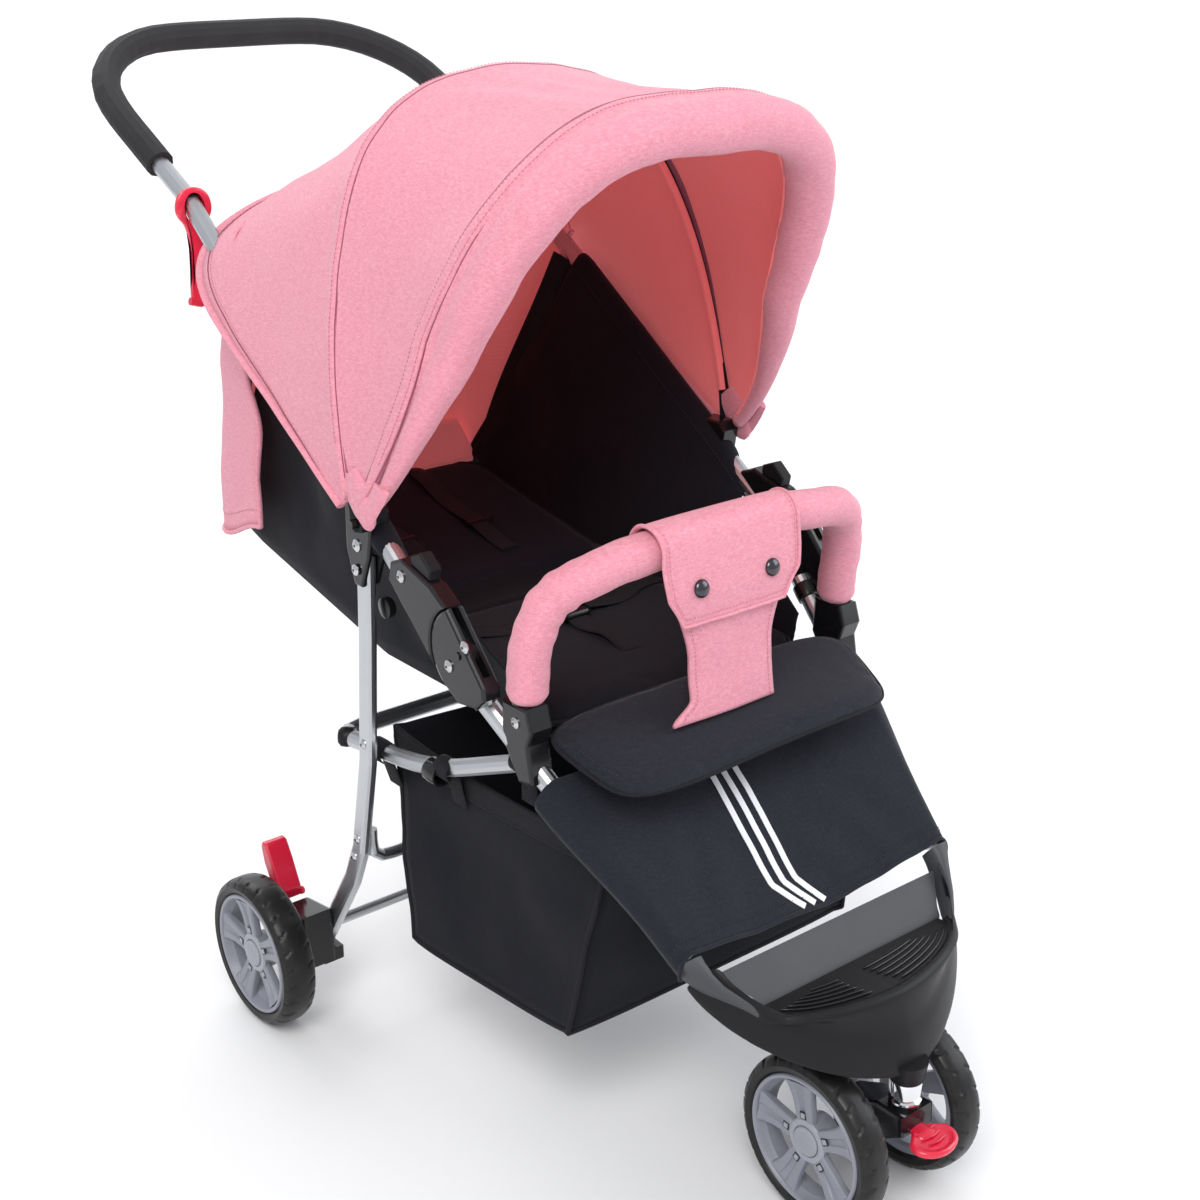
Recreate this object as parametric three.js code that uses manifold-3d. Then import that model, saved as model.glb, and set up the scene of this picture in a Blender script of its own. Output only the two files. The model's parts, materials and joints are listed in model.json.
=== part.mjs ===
// A three-wheel baby stroller with a canopy, a reclining seat, a bumper bar and a basket.
// Millimetres, +Z up. The stroller faces -Y, so the child's left is +X.
// Everything is laid out from a point on the ground under the rear axle (y = 0), and the whole
// group is then moved so that its origin is the middle of the footprint.
import * as THREE from 'three';
import { mergeVertices } from 'three/addons/utils/BufferGeometryUtils.js';
import Module from 'manifold-3d';

const wasm = await Module();
wasm.setup();

// ---- driving dimensions ----
const WHEEL_RADIUS = 82.5;
const RIM_RADIUS = 66;
const REAR_WHEEL = { x: 294, y: 0, width: 38 };
const FRONT_WHEEL = { x: 62, y: -597, width: 34 };
const CASTER_Y = -648;
const ORIGIN_Y = -108.6;

const RAIL_RADIUS = 10;
const GAP = 0.35;
const LOWER_RAIL = { x: 160, y: -541, z: 264, dx: 0.204, dz: 0.806 };
const UPPER_RAIL = { x: 219.7, y: -173, z: 566, dx: -0.039, dz: 0.719 };
const HANDLE = { startY: 215, slope: 0.559, halfWidth: 210, reach: 160, cornerRadius: 130 };
const GRIP_RADIUS = 15.5;

const FOLD_PIVOT = { y: -293, z: 506 };
const SEAM_RADIUS = 44;
const HOUSING_X = [213, 233];
const LEG_PIVOT = { y: -132, z: 543 };
const LEG_X = [218, 230];
const LEG_WIDTH = 20;
const SEAT_PIVOT = { x: 175, y: -355, z: 408 };
const CANOPY_PIVOT = { y: -142, z: 593 };
const VISOR_ANGLE = 120.5;
const PIN_RADIUS = 4;

const FABRIC = 3;
const SEAT_HALF_WIDTH = 165;
const RECLINE_PIVOT = { y: -48, z: 437 };
const RECLINE_SLOPE = Math.atan2(54, 283);
const CALF_PIVOT = { y: -346, z: 441 };
const BUMPER = { x: 198, y: -347, radius: 14, top: 598 };

// ---- materials ----
const finish = (color, roughness, metalness = 0) =>
  new THREE.MeshStandardMaterial({ color, roughness, metalness });
const MATERIAL = {
  tube: finish(0xbfc4c9, 0.35, 0.85),
  chrome: finish(0xdadcde, 0.12, 1),
  plastic: finish(0x17181a, 0.45),
  grip: finish(0x2a2b2d, 0.85),
  rim: finish(0x9698a6, 0.5),
  tyre: finish(0x2b2a2a, 0.55),
  red: finish(0xdb1f3a, 0.4),
  pink: finish(0xe9a3b4, 0.95),
  black_fabric: finish(0x15161b, 0.95),
  grey_fabric: finish(0x30333c, 0.95),
};

const SIDES = [['left', 1], ['right', -1]];
const stroller = new THREE.Group();
stroller.position.y = -ORIGIN_Y;

// ---- helpers ----
const vec = (x, y, z) => new THREE.Vector3(x, y, z);
const lerp = (a, b, t) => a + (b - a) * t;

function add(name, mesh) {
  mesh.name = name;
  stroller.add(mesh);
  return mesh;
}

// Points on the two straight stretches of the side rails; side is 1 or -1.
function railPoint(rail, y, side = 1) {
  return vec(side * (rail.x + rail.dx * (y - rail.y)), y, rail.z + rail.dz * (y - rail.y));
}

// A round bar from a to b.
function rod(a, b, radius, material, sides = 16) {
  const mesh = new THREE.Mesh(new THREE.CylinderGeometry(radius, radius, a.distanceTo(b), sides), material);
  mesh.position.copy(a).add(b).multiplyScalar(0.5);
  mesh.quaternion.setFromUnitVectors(vec(0, 1, 0), b.clone().sub(a).normalize());
  return mesh;
}

// A path of straight stretches joined by rounded bends.
function bentPath(points, bend) {
  const path = new THREE.CurvePath();
  let from = points[0];
  for (let i = 1; i < points.length - 1; i++) {
    const corner = points[i];
    const before = corner.clone().lerp(from, Math.min(0.49, bend / corner.distanceTo(from)));
    const after = corner.clone().lerp(points[i + 1], Math.min(0.49, bend / corner.distanceTo(points[i + 1])));
    path.add(new THREE.LineCurve3(from, before));
    path.add(new THREE.QuadraticBezierCurve3(before, corner, after));
    from = after;
  }
  path.add(new THREE.LineCurve3(from, points[points.length - 1]));
  return path;
}

// A round section, hollow where innerRadius is given, swept along a path.
function sweep(path, radius, steps, material, innerRadius = 0, halfSides = 6) {
  const section = new THREE.Shape().absarc(0, 0, radius, 0, Math.PI * 2);
  if (innerRadius > 0) {
    section.holes.push(new THREE.Path().absarc(0, 0, innerRadius, 0, Math.PI * 2, true));
  }
  const options = { steps, extrudePath: path, curveSegments: halfSides, bevelEnabled: false };
  return new THREE.Mesh(new THREE.ExtrudeGeometry(section, options), material);
}

// A flat piece with an outline of [y, z] points, from x0 to x1, with its edges eased by bevel.
function sidePlate(outline, x0, x1, material, bevel = 0) {
  const shape = outline instanceof THREE.Shape
    ? outline : new THREE.Shape(outline.map(([y, z]) => new THREE.Vector2(y, z)));
  const low = Math.min(x0, x1);
  const options = {
    depth: Math.abs(x1 - x0) - 2 * bevel,
    bevelEnabled: bevel > 0,
    bevelThickness: bevel,
    bevelSize: bevel,
    bevelOffset: -bevel,
    bevelSegments: 2,
    curveSegments: 8,
  };
  const mesh = new THREE.Mesh(new THREE.ExtrudeGeometry(shape, options), material);
  const turn = new THREE.Matrix4().makeBasis(vec(0, 1, 0), vec(0, 0, 1), vec(1, 0, 0));
  mesh.quaternion.setFromRotationMatrix(turn);
  mesh.position.x = low + bevel;
  return mesh;
}

// The outline of a strip of constant width along a line of [y, z] points.
function strip(points, width) {
  const offset = (i, sign) => {
    const a = points[Math.max(0, i - 1)];
    const b = points[Math.min(points.length - 1, i + 1)];
    const length = Math.hypot(b[0] - a[0], b[1] - a[1]);
    const scale = (sign * width) / 2 / length;
    return [points[i][0] - (b[1] - a[1]) * scale, points[i][1] + (b[0] - a[0]) * scale];
  };
  const indices = points.map((_, i) => i);
  return [...indices.map((i) => offset(i, 1)), ...indices.reverse().map((i) => offset(i, -1))];
}

// A ring-shaped or solid part turned about the X axis, from [radius, x] points.
function turned(profile, x, y, z, material, segments = 28) {
  const points = profile.map(([r, along]) => new THREE.Vector2(r, along));
  const mesh = new THREE.Mesh(new THREE.LatheGeometry(points, segments), material);
  mesh.rotation.z = -Math.PI / 2;
  mesh.position.set(x, y, z);
  return mesh;
}

// A closed solid between two grids of points with the same rows and columns.
// With loop set, the last column joins the first, and the first and last rows are capped.
function gridSolid(top, bottom, material) {
  const rows = top.length;
  const columns = top[0].length;
  const positions = [];
  for (const grid of [top, bottom]) {
    for (const row of grid) {
      for (const p of row) positions.push(p.x, p.y, p.z);
    }
  }
  const at = (layer, i, j) => layer * rows * columns + i * columns + j;
  const index = [];
  const quad = (a, b, c, d) => index.push(a, b, c, a, c, d);
  for (let i = 0; i < rows - 1; i++) {
    for (let j = 0; j < columns - 1; j++) {
      quad(at(0, i, j), at(0, i + 1, j), at(0, i + 1, j + 1), at(0, i, j + 1));
      quad(at(1, i, j), at(1, i, j + 1), at(1, i + 1, j + 1), at(1, i + 1, j));
    }
    quad(at(0, i, 0), at(1, i, 0), at(1, i + 1, 0), at(0, i + 1, 0));
    quad(at(0, i, columns - 1), at(0, i + 1, columns - 1), at(1, i + 1, columns - 1), at(1, i, columns - 1));
  }
  for (let j = 0; j < columns - 1; j++) {
    quad(at(0, 0, j), at(0, 0, j + 1), at(1, 0, j + 1), at(1, 0, j));
    quad(at(0, rows - 1, j), at(1, rows - 1, j), at(1, rows - 1, j + 1), at(0, rows - 1, j + 1));
  }
  return meshFrom(positions, index, material);
}

// A closed solid through a stack of rings, capped flat at the first and the last.
function ringSolid(rings, material) {
  const count = rings[0].length;
  const positions = rings.flat().flatMap((p) => [p.x, p.y, p.z]);
  const index = [];
  for (let i = 0; i < rings.length - 1; i++) {
    for (let j = 0; j < count; j++) {
      const k = (j + 1) % count;
      const [a, b, c, d] = [i * count + j, i * count + k, (i + 1) * count + k, (i + 1) * count + j];
      index.push(a, b, c, a, c, d);
    }
  }
  const last = (rings.length - 1) * count;
  for (let j = 1; j < count - 1; j++) {
    index.push(0, j + 1, j, last, last + j, last + j + 1);
  }
  return meshFrom(positions, index, material);
}

function meshFrom(positions, index, material) {
  const geometry = new THREE.BufferGeometry();
  geometry.setAttribute('position', new THREE.Float32BufferAttribute(positions, 3));
  geometry.setIndex(index);
  const solid = new THREE.Mesh(geometry, material);
  if (volume(geometry) < 0) {
    for (let i = 0; i < index.length; i += 3) {
      [index[i], index[i + 1]] = [index[i + 1], index[i]];
    }
    geometry.setIndex(index);
  }
  return solid;
}

function volume(geometry) {
  const p = geometry.getAttribute('position');
  const index = geometry.getIndex().array;
  const [a, b, c] = [vec(0, 0, 0), vec(0, 0, 0), vec(0, 0, 0)];
  let sum = 0;
  for (let i = 0; i < index.length; i += 3) {
    a.fromBufferAttribute(p, index[i]);
    b.fromBufferAttribute(p, index[i + 1]);
    c.fromBufferAttribute(p, index[i + 2]);
    sum += a.dot(b.cross(c)) / 6;
  }
  return sum;
}

// Joins and cuts. The result's vertices are in the stroller's frame.
function toSolid(mesh) {
  mesh.updateMatrix();
  const geometry = mesh.geometry.clone().applyMatrix4(mesh.matrix);
  geometry.deleteAttribute('normal');
  geometry.deleteAttribute('uv');
  const merged = mergeVertices(geometry, 1e-3);
  return new wasm.Manifold(new wasm.Mesh({
    numProp: 3,
    vertProperties: new Float32Array(merged.getAttribute('position').array),
    triVerts: new Uint32Array(merged.getIndex().array),
  }));
}

function fromSolid(solid, material) {
  const data = solid.getMesh();
  const geometry = new THREE.BufferGeometry();
  geometry.setAttribute('position', new THREE.Float32BufferAttribute(data.vertProperties, 3));
  geometry.setIndex(Array.from(data.triVerts));
  return new THREE.Mesh(geometry, material);
}

function join(...meshes) {
  const solid = meshes.map(toSolid).reduce((all, one) => all.add(one));
  return fromSolid(solid, meshes[0].material);
}

function cut(mesh, ...tools) {
  const solid = tools.map(toSolid).reduce((left, tool) => left.subtract(tool), toSolid(mesh));
  return fromSolid(solid, mesh.material);
}

function box(x0, x1, y0, y1, z0, z1, material) {
  const mesh = new THREE.Mesh(new THREE.BoxGeometry(Math.abs(x1 - x0), y1 - y0, z1 - z0), material);
  mesh.position.set((x0 + x1) / 2, (y0 + y1) / 2, (z0 + z1) / 2);
  return mesh;
}

// A pin along X.
const pin = (x0, x1, y, z, radius, material, sides = 12) =>
  rod(vec(x0, y, z), vec(x1, y, z), radius, material, sides);

// A padded rectangle with round corners and eased edges, lying flat with its top at z = 0.
function cushion(width, length, thickness, corner, material) {
  const [w, l, r] = [width / 2, length / 2, corner];
  const shape = new THREE.Shape();
  shape.moveTo(-w + r, -l);
  shape.lineTo(w - r, -l);
  shape.absarc(w - r, -l + r, r, -Math.PI / 2, 0);
  shape.lineTo(w, l - r);
  shape.absarc(w - r, l - r, r, 0, Math.PI / 2);
  shape.lineTo(-w + r, l);
  shape.absarc(-w + r, l - r, r, Math.PI / 2, Math.PI);
  shape.lineTo(-w, -l + r);
  shape.absarc(-w + r, -l + r, r, Math.PI, Math.PI * 1.5);
  const bevel = thickness / 3;
  const geometry = new THREE.ExtrudeGeometry(shape, {
    depth: thickness - 2 * bevel, bevelThickness: bevel, bevelSize: bevel, bevelOffset: -bevel,
    bevelSegments: 2, curveSegments: 3,
  });
  geometry.translate(0, 0, bevel - thickness);
  return new THREE.Mesh(geometry, material);
}

// ---- wheels ----
function tyre(width) {
  const w = width / 2;
  const r = RIM_RADIUS + GAP;
  return [[r, -w + 4], [r + 8, -w], [WHEEL_RADIUS - 4, -w + 3], [WHEEL_RADIUS, -w + 10],
    [WHEEL_RADIUS, w - 10], [WHEEL_RADIUS - 4, w - 3], [r + 8, w], [r, w - 4], [r, -w + 4]];
}

function rim(x, y, width) {
  const w = width / 2;
  const hub = turned([[0, -w], [20, -w], [20, w + 2], [0, w + 2]], x, y, WHEEL_RADIUS, MATERIAL.rim, 20);
  const ring = turned([[57, -w + 6], [RIM_RADIUS, -w + 6], [RIM_RADIUS, w - 5], [57, w - 5], [57, -w + 6]],
    x, y, WHEEL_RADIUS, MATERIAL.rim);
  const spokes = [];
  for (let k = 0; k < 5; k++) {
    const spoke = box(-6, w - 7, -11, 11, 14, 60, MATERIAL.rim);
    spoke.geometry.translate(spoke.position.x, 0, spoke.position.z);
    spoke.rotation.x = (k * Math.PI * 2) / 5;
    spoke.position.set(x, y, WHEEL_RADIUS);
    spokes.push(spoke);
  }
  return join(hub, ring, ...spokes);
}

// The outward end of a wheel is at +X on the left and at -X on the right.
function wheel(end, name, side, place) {
  const outward = side * place.x;
  add(`${end}_tyre_${name}`, turned(tyre(place.width), outward, place.y, WHEEL_RADIUS, MATERIAL.tyre));
  const shape = rim(place.x, place.y, place.width);
  const bore = pin(place.x - 40, place.x + place.width / 2 - 4, place.y, WHEEL_RADIUS, 5.6, MATERIAL.rim, 16);
  const bored = cut(shape, bore);
  if (side < 0) bored.rotation.z = Math.PI;
  bored.position.y = side < 0 ? 2 * place.y : 0;
  add(`${end}_rim_${name}`, bored);
}

// ---- front caster ----
function caster() {
  const y = FRONT_WHEEL.y;
  const top = WHEEL_RADIUS + 18;
  const arm = sidePlate([[y - 14, 66], [y + 14, 66], [y + 20, 96], [CASTER_Y + 16, 122], [CASTER_Y - 16, 122],
    [CASTER_Y - 17, top]], -22, 22, MATERIAL.plastic, 4);
  const collar = rod(vec(0, CASTER_Y, 100), vec(0, CASTER_Y, 126), 15, MATERIAL.plastic, 20);
  const slot = pin(-30, 30, y, WHEEL_RADIUS, 5 + GAP, MATERIAL.plastic, 16);
  const socket = rod(vec(0, CASTER_Y, 112), vec(0, CASTER_Y, 130), 7.5 + GAP, MATERIAL.plastic);
  add('caster_fork', cut(join(arm, collar), slot, socket));
  add('caster_stem', rod(vec(0, CASTER_Y, 112 + GAP), vec(0, CASTER_Y, 134), 7.5, MATERIAL.chrome));
  add('front_axle', pin(-FRONT_WHEEL.x - 12, FRONT_WHEEL.x + 12, y, WHEEL_RADIUS, 5, MATERIAL.chrome));
  for (const [name, side] of SIDES) wheel('front', name, side, FRONT_WHEEL);

  // The lever's neck leaves the fork and widens to a round-ended tread.
  const blade = new THREE.Shape();
  blade.moveTo(-10, -18);
  blade.lineTo(10, -18);
  blade.quadraticCurveTo(38, -26, 21, -46);
  blade.quadraticCurveTo(0, -58, -21, -46);
  blade.quadraticCurveTo(-38, -26, -10, -18);
  const geometry = new THREE.ExtrudeGeometry(blade, { depth: 6, bevelEnabled: false, curveSegments: 5 });
  const lever = new THREE.Mesh(geometry, MATERIAL.red);
  lever.position.set(0, CASTER_Y, 96);
  lever.rotation.x = 0.12;
  add('swivel_lock', lever);
}

// ---- footrest ----
// Half of a rounded outline seen from above: u runs from -1 at the right to 1 at the left.
function bowAround(halfWidth, rearY, depth, power, u) {
  const turn = ((1 - u) * Math.PI) / 2;
  const reach = Math.pow(Math.abs(Math.sin(turn)), 2 / power);
  const across = Math.sign(Math.cos(turn)) * Math.pow(Math.abs(Math.cos(turn)), 2 / power);
  return [halfWidth * across, rearY - depth * reach];
}

// A sloping panel leads down to a half-moon step, whose rim curves over into a deep front lip.
function footrest() {
  const lipHeight = (y) => 244 + 0.72 * (y + 541);
  const rim = (grow, z) => (u) => {
    const [x, y] = bowAround(122 + grow, -581, 49 + grow, 1.75, u);
    return vec(x, y, z);
  };
  const front = (halfWidth, rearY, depth, lift) => (u) => {
    const [x, y] = bowAround(halfWidth, rearY, depth, 1.6, u);
    return vec(x, y, lipHeight(y) + lift);
  };
  const stations = [
    (u) => vec(143 * u, -546, 262),
    (u) => vec(118 * u, -576, 241),
    rim(-3, 233),
    rim(2, 237),
    rim(9, 231),
    front(155, -541, 110, 22),
    front(163, -532, 124, 0),
  ];
  const columns = 28;
  const surface = (drop, inset) => stations.map((station) => {
    const row = [];
    for (let j = 0; j <= columns; j++) {
      const p = station(-1 + (2 * j) / columns);
      row.push(vec(p.x * inset, p.y + drop * 0.8, p.z - drop * 0.6));
    }
    return row;
  });
  const bowl = gridSolid(surface(0, 1), surface(5, 0.97), MATERIAL.plastic);
  const arms = SIDES.map(([, side]) => footrestArm(side));
  const boss = rod(vec(0, CASTER_Y, 134 + GAP), vec(0, CASTER_Y, 172), 15, MATERIAL.plastic, 20);
  const web = sidePlate([[-652, 152], [-560, 226], [-600, 230], [-630, 224]], -3, 3, MATERIAL.plastic);
  add('footrest', join(bowl, ...arms, boss, web));
}

// A slim arm from the end of a side rail down the edge of the footrest.
function footrestArm(side) {
  const stretch = [
    { x: 162, y: -529, z: 273.5, wide: 12.5, tall: 12.5 },
    { x: 154, y: -543, z: 260, wide: 9, tall: 13 },
    { x: 140, y: -564, z: 245, wide: 7, tall: 13 },
    { x: 126, y: -584, z: 230, wide: 6, tall: 10 },
  ];
  const rings = stretch.map(({ x, y, z, wide, tall }) => {
    const ring = [];
    for (let k = 0; k < 12; k++) {
      const a = (k / 12) * Math.PI * 2;
      const up = tall * Math.sin(a);
      ring.push(vec(side * x + wide * Math.cos(a), y - 0.62 * up, z + 0.78 * up));
    }
    return ring;
  });
  return ringSolid(rings, MATERIAL.plastic);
}

// ---- side rails, fold housings and handle ----
function chassis() {
  for (const [name, side] of SIDES) {
    const foot = railPoint(LOWER_RAIL, -526.5, side);
    const knee = railPoint(LOWER_RAIL, -283, side);
    add(`front_rail_${name}`, rod(foot, knee, RAIL_RADIUS, MATERIAL.tube));

    const start = railPoint(UPPER_RAIL, -218, side);
    const end = railPoint(UPPER_RAIL, HANDLE.startY, side);
    add(`push_rail_${name}`, rod(start, end, RAIL_RADIUS, MATERIAL.tube));
    foldHousings(name, side, start, knee);
  }
}

function arcPoints(radius, from, to, count) {
  const points = [];
  for (let i = 0; i <= count; i++) {
    const a = ((from + ((to - from) * i) / count) * Math.PI) / 180;
    points.push([FOLD_PIVOT.y + radius * Math.cos(a), FOLD_PIVOT.z + radius * Math.sin(a)]);
  }
  return points;
}

// The lower housing is round about the fold pivot, and the upper one wraps round it.
// A tongue on the upper housing reaches the pivot between the lower housing's cheeks.
function foldHousings(name, side, railStart, railEnd) {
  const [x0, x1] = HOUSING_X.map((x) => side * x);
  const tongue = HOUSING_X.map((x, i) => side * (x + (i ? -6.5 : 6.5)));
  const round = [
    ...arcPoints(SEAM_RADIUS - 0.5, -52, 66, 9),
    [-330, 486], [-331, 474], [-318, 462], [-290, 458],
  ];
  const slotted = cut(sidePlate(round, x0, x1, MATERIAL.plastic, 3),
    sidePlate([...arcPoints(60, -80, 178, 8), [-316, 490], [-300, 474]], tongue[0] - side * GAP,
      tongue[1] + side * GAP, MATERIAL.plastic),
    rod(railEnd, railPoint(LOWER_RAIL, -340, side), RAIL_RADIUS + GAP, MATERIAL.plastic));
  const fold = pin(x0, x1 + side * 1.5, FOLD_PIVOT.y, FOLD_PIVOT.z, PIN_RADIUS, MATERIAL.plastic);
  add(`fold_housing_lower_${name}`, join(slotted, fold));

  const cover = [
    ...arcPoints(SEAM_RADIUS + 0.5, 64, -30, 7),
    [-182, 547], [-186, 566], [-205, 574], [-250, 561],
  ];
  const socket = rod(railStart.clone().lerp(railPoint(UPPER_RAIL, -240, side), 0.1),
    railPoint(UPPER_RAIL, -150, side), RAIL_RADIUS + GAP, MATERIAL.plastic);
  const lug = sidePlate([...arcPoints(13, 100, 290, 7), ...arcPoints(52, -20, 45, 4)], tongue[0], tongue[1],
    MATERIAL.plastic);
  const hole = pin(x0, x1, FOLD_PIVOT.y, FOLD_PIVOT.z, PIN_RADIUS + GAP, MATERIAL.plastic, 16);
  add(`fold_housing_upper_${name}`,
    cut(join(sidePlate(cover, x0, x1, MATERIAL.plastic, 3), lug), socket, hole));

  const tab = sidePlate([[-246, 563.2], [-216, 571.4], [-217, 580], [-232, 586], [-248, 573]],
    side * 216, side * 230, MATERIAL.plastic, 2);
  add(`fold_release_${name}`, tab);
}

// The handle bends down from the rails and runs across behind them in one bow.
function handle() {
  const scale = 1 / Math.hypot(1, HANDLE.slope);
  const railEnd = railPoint(UPPER_RAIL, HANDLE.startY);
  const place = (x, along) =>
    vec(x, HANDLE.startY + along * scale, railEnd.z + along * HANDLE.slope * scale);
  const bar = [];
  const half = [
    [railEnd.x, 3.5],
    [HANDLE.halfWidth - 2, HANDLE.reach * 0.55],
    [HANDLE.halfWidth, HANDLE.reach],
  ];
  for (let a = 15; a <= 90; a += 15) {
    const t = (a * Math.PI) / 180;
    const corner = HANDLE.halfWidth - HANDLE.cornerRadius;
    half.push([corner + HANDLE.cornerRadius * Math.cos(t), HANDLE.reach + HANDLE.cornerRadius * Math.sin(t)]);
  }
  const top = HANDLE.reach + HANDLE.cornerRadius + 1;
  for (const [x, along] of half) bar.push(place(-x, along));
  bar.push(place(0, top));
  for (const [x, along] of half.reverse()) bar.push(place(x, along));
  const curve = new THREE.CatmullRomCurve3(bar, false, 'centripetal');
  add('handle_tube', sweep(curve, RAIL_RADIUS, 40, MATERIAL.tube));
  const covered = new THREE.CatmullRomCurve3(curve.getSpacedPoints(60).slice(4, -4), false, 'centripetal');
  add('handle_grip', sweep(covered, GRIP_RADIUS, 36, MATERIAL.grip, RAIL_RADIUS + 0.6));
}

// ---- rear legs ----
const LEG_LINE = [[-131.5, 556], [-127, 467], [-117, 331], [-95, 222], [-76, 178], [-14, 80]];

function rearLegs() {
  for (const [name, side] of SIDES) {
    const [x0, x1] = LEG_X.map((x) => side * x);
    const leg = sidePlate(strip(LEG_LINE, LEG_WIDTH), x0, x1, MATERIAL.tube, 4);
    const hole = pin(x0, x1, LEG_PIVOT.y, LEG_PIVOT.z, PIN_RADIUS + GAP, MATERIAL.tube, 16);
    add(`rear_leg_${name}`, cut(leg, hole));

    const outline = [
      [-138, 526], [-126, 526], [-114, 560], [-114, 604],
      [-124, 613], [-152, 613], [-160, 604], [-152, 560],
    ];
    const bracket = sidePlate(outline, side * 213, side * 235, MATERIAL.plastic, 2);
    const slot = box(x0 - side * GAP, x1 + side * GAP, -170, -90, 500, 571, MATERIAL.plastic);
    const saddle = rod(railPoint(UPPER_RAIL, -190, side), railPoint(UPPER_RAIL, -70, side), RAIL_RADIUS + GAP,
      MATERIAL.plastic);
    const legPin = pin(side * 213.5, side * 236.5, LEG_PIVOT.y, LEG_PIVOT.z, PIN_RADIUS, MATERIAL.plastic);
    const canopyPin = pin(side * 231, side * 247, CANOPY_PIVOT.y, CANOPY_PIVOT.z, 5, MATERIAL.plastic);
    add(`leg_bracket_${name}`, join(cut(bracket, slot, saddle), legPin, canopyPin));

    const carrier = sidePlate([[-44, 66], [-14, 58], [22, 64], [24, 104], [8, 120], [-40, 128]], side * 230.5,
      side * 266, MATERIAL.plastic, 4);
    const shoe = sidePlate([[-32, 56], [14, 56], [10, 72], [-32, 72]], side * 214, side * 240,
      MATERIAL.plastic, 2);
    const stub = pin(side * 262, side * (REAR_WHEEL.x + 12), 0, WHEEL_RADIUS, 5, MATERIAL.plastic, 16);
    add(`wheel_carrier_${name}`, join(carrier, shoe, stub));
    wheel('rear', name, side, REAR_WHEEL);

    const pedal = sidePlate(strip([[10, 122], [16, 134], [32, 164], [41, 178]], 8), side * 237, side * 264,
      MATERIAL.red, 2);
    add(`brake_pedal_${name}`, pedal);
  }
  const x = LEG_X[0] - GAP - 6.5;
  const cross = bentPath([vec(x, -95, 240), vec(x, -95, 204), vec(-x, -95, 204), vec(-x, -95, 240)], 24);
  add('leg_cross_tube', sweep(cross, 6.5, 36, MATERIAL.tube));
  const inner = LEG_X[0] - GAP;
  add('rear_cross_rod', pin(-inner, inner, -28, 102, 6, MATERIAL.tube, 12));
}

// ---- seat frame ----
function seatFrame() {
  for (const [name, side] of SIDES) {
    const start = vec(side * SEAT_PIVOT.x, SEAT_PIVOT.y + 12, SEAT_PIVOT.z - 5);
    const path = bentPath([start, vec(side * 197, -193, 342), vec(side * 206, -62, 329)], 50);
    add(`seat_tube_${name}`, sweep(path, 9, 14, MATERIAL.tube));
  }
  const ends = [vec(206, -52, 328), vec(196, -34, 326), vec(-196, -34, 326), vec(-206, -52, 328)];
  const cross = bentPath(ends, 16);
  add('seat_cross_tube', sweep(cross, 9, 26, MATERIAL.tube));

  const pad = cushion(2 * SEAT_HALF_WIDTH, 276, 24, 28, MATERIAL.black_fabric);
  pad.position.set(0, -198, 440);
  add('seat_pad', pad);

  const flap = cushion(352, 128, 18, 46, MATERIAL.black_fabric);
  flap.position.set(0, -410, 424);
  flap.rotation.x = 0.29;
  add('calf_flap', flap);
}

function backrest() {
  const length = 284;
  const board = cushion(2 * SEAT_HALF_WIDTH - 6, length, 20, 30, MATERIAL.black_fabric);
  const holder = new THREE.Group();
  holder.position.set(0, RECLINE_PIVOT.y, RECLINE_PIVOT.z);
  holder.rotation.x = RECLINE_SLOPE;
  stroller.add(holder);
  board.position.set(0, length / 2 + 5, 7);
  board.name = 'backrest';
  holder.add(board);
  for (const [name, side] of SIDES) {
    const strap = new THREE.Mesh(new THREE.BoxGeometry(24, 176, 2.4), MATERIAL.grey_fabric);
    strap.position.set(side * 58, 128, 8.8);
    strap.name = `harness_shoulder_${name}`;
    holder.add(strap);
  }
}

// The waist strap and the buckle lie on the seat.
function harness() {
  const strap = box(-150, 150, -142, -116, 440.6, 443, MATERIAL.grey_fabric);
  const crotch = box(-13, 13, -240, -130, 440.6, 443, MATERIAL.grey_fabric);
  const buckle = cushion(46, 52, 12, 12, MATERIAL.plastic);
  buckle.position.set(0, -132, 452.6);
  add('harness_buckle', join(buckle, strap, crotch));
}

// The fabric side walls of the seat hang from the rails, inside the frame.
function seatSides() {
  const lowerEdge = [[-322, 424], [-200, 424], [-48, 428], [60, 449], [200, 476]];
  const upperEdge = [[172, 560], [62, 742], [-205, 534], [-316, 448]];
  for (const [name, side] of SIDES) {
    add(`seat_side_${name}`, sidePlate([...lowerEdge, ...upperEdge], side * 170, side * (170 + FABRIC),
      MATERIAL.black_fabric));
  }
}

// ---- basket ----
// One level of the basket: a rectangle with cut corners, wider at the rear than at the front.
function basketRing(front, rear, inset) {
  const corner = 26;
  const points = [];
  for (const [end, sign] of [[front, 1], [rear, -1]]) {
    const half = end.x - inset;
    const y = end.y + sign * inset;
    const stations = [[half, corner], [half - corner * 0.3, corner * 0.3], [half - corner, 0], [0, -6]];
    for (const [x, along] of stations) points.push([-sign * x, y + sign * along, end.z]);
    for (const [x, along] of stations.slice(0, 3).reverse()) points.push([sign * x, y + sign * along, end.z]);
  }
  return points.map(([x, y, z]) => vec(x, y, z));
}

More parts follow.
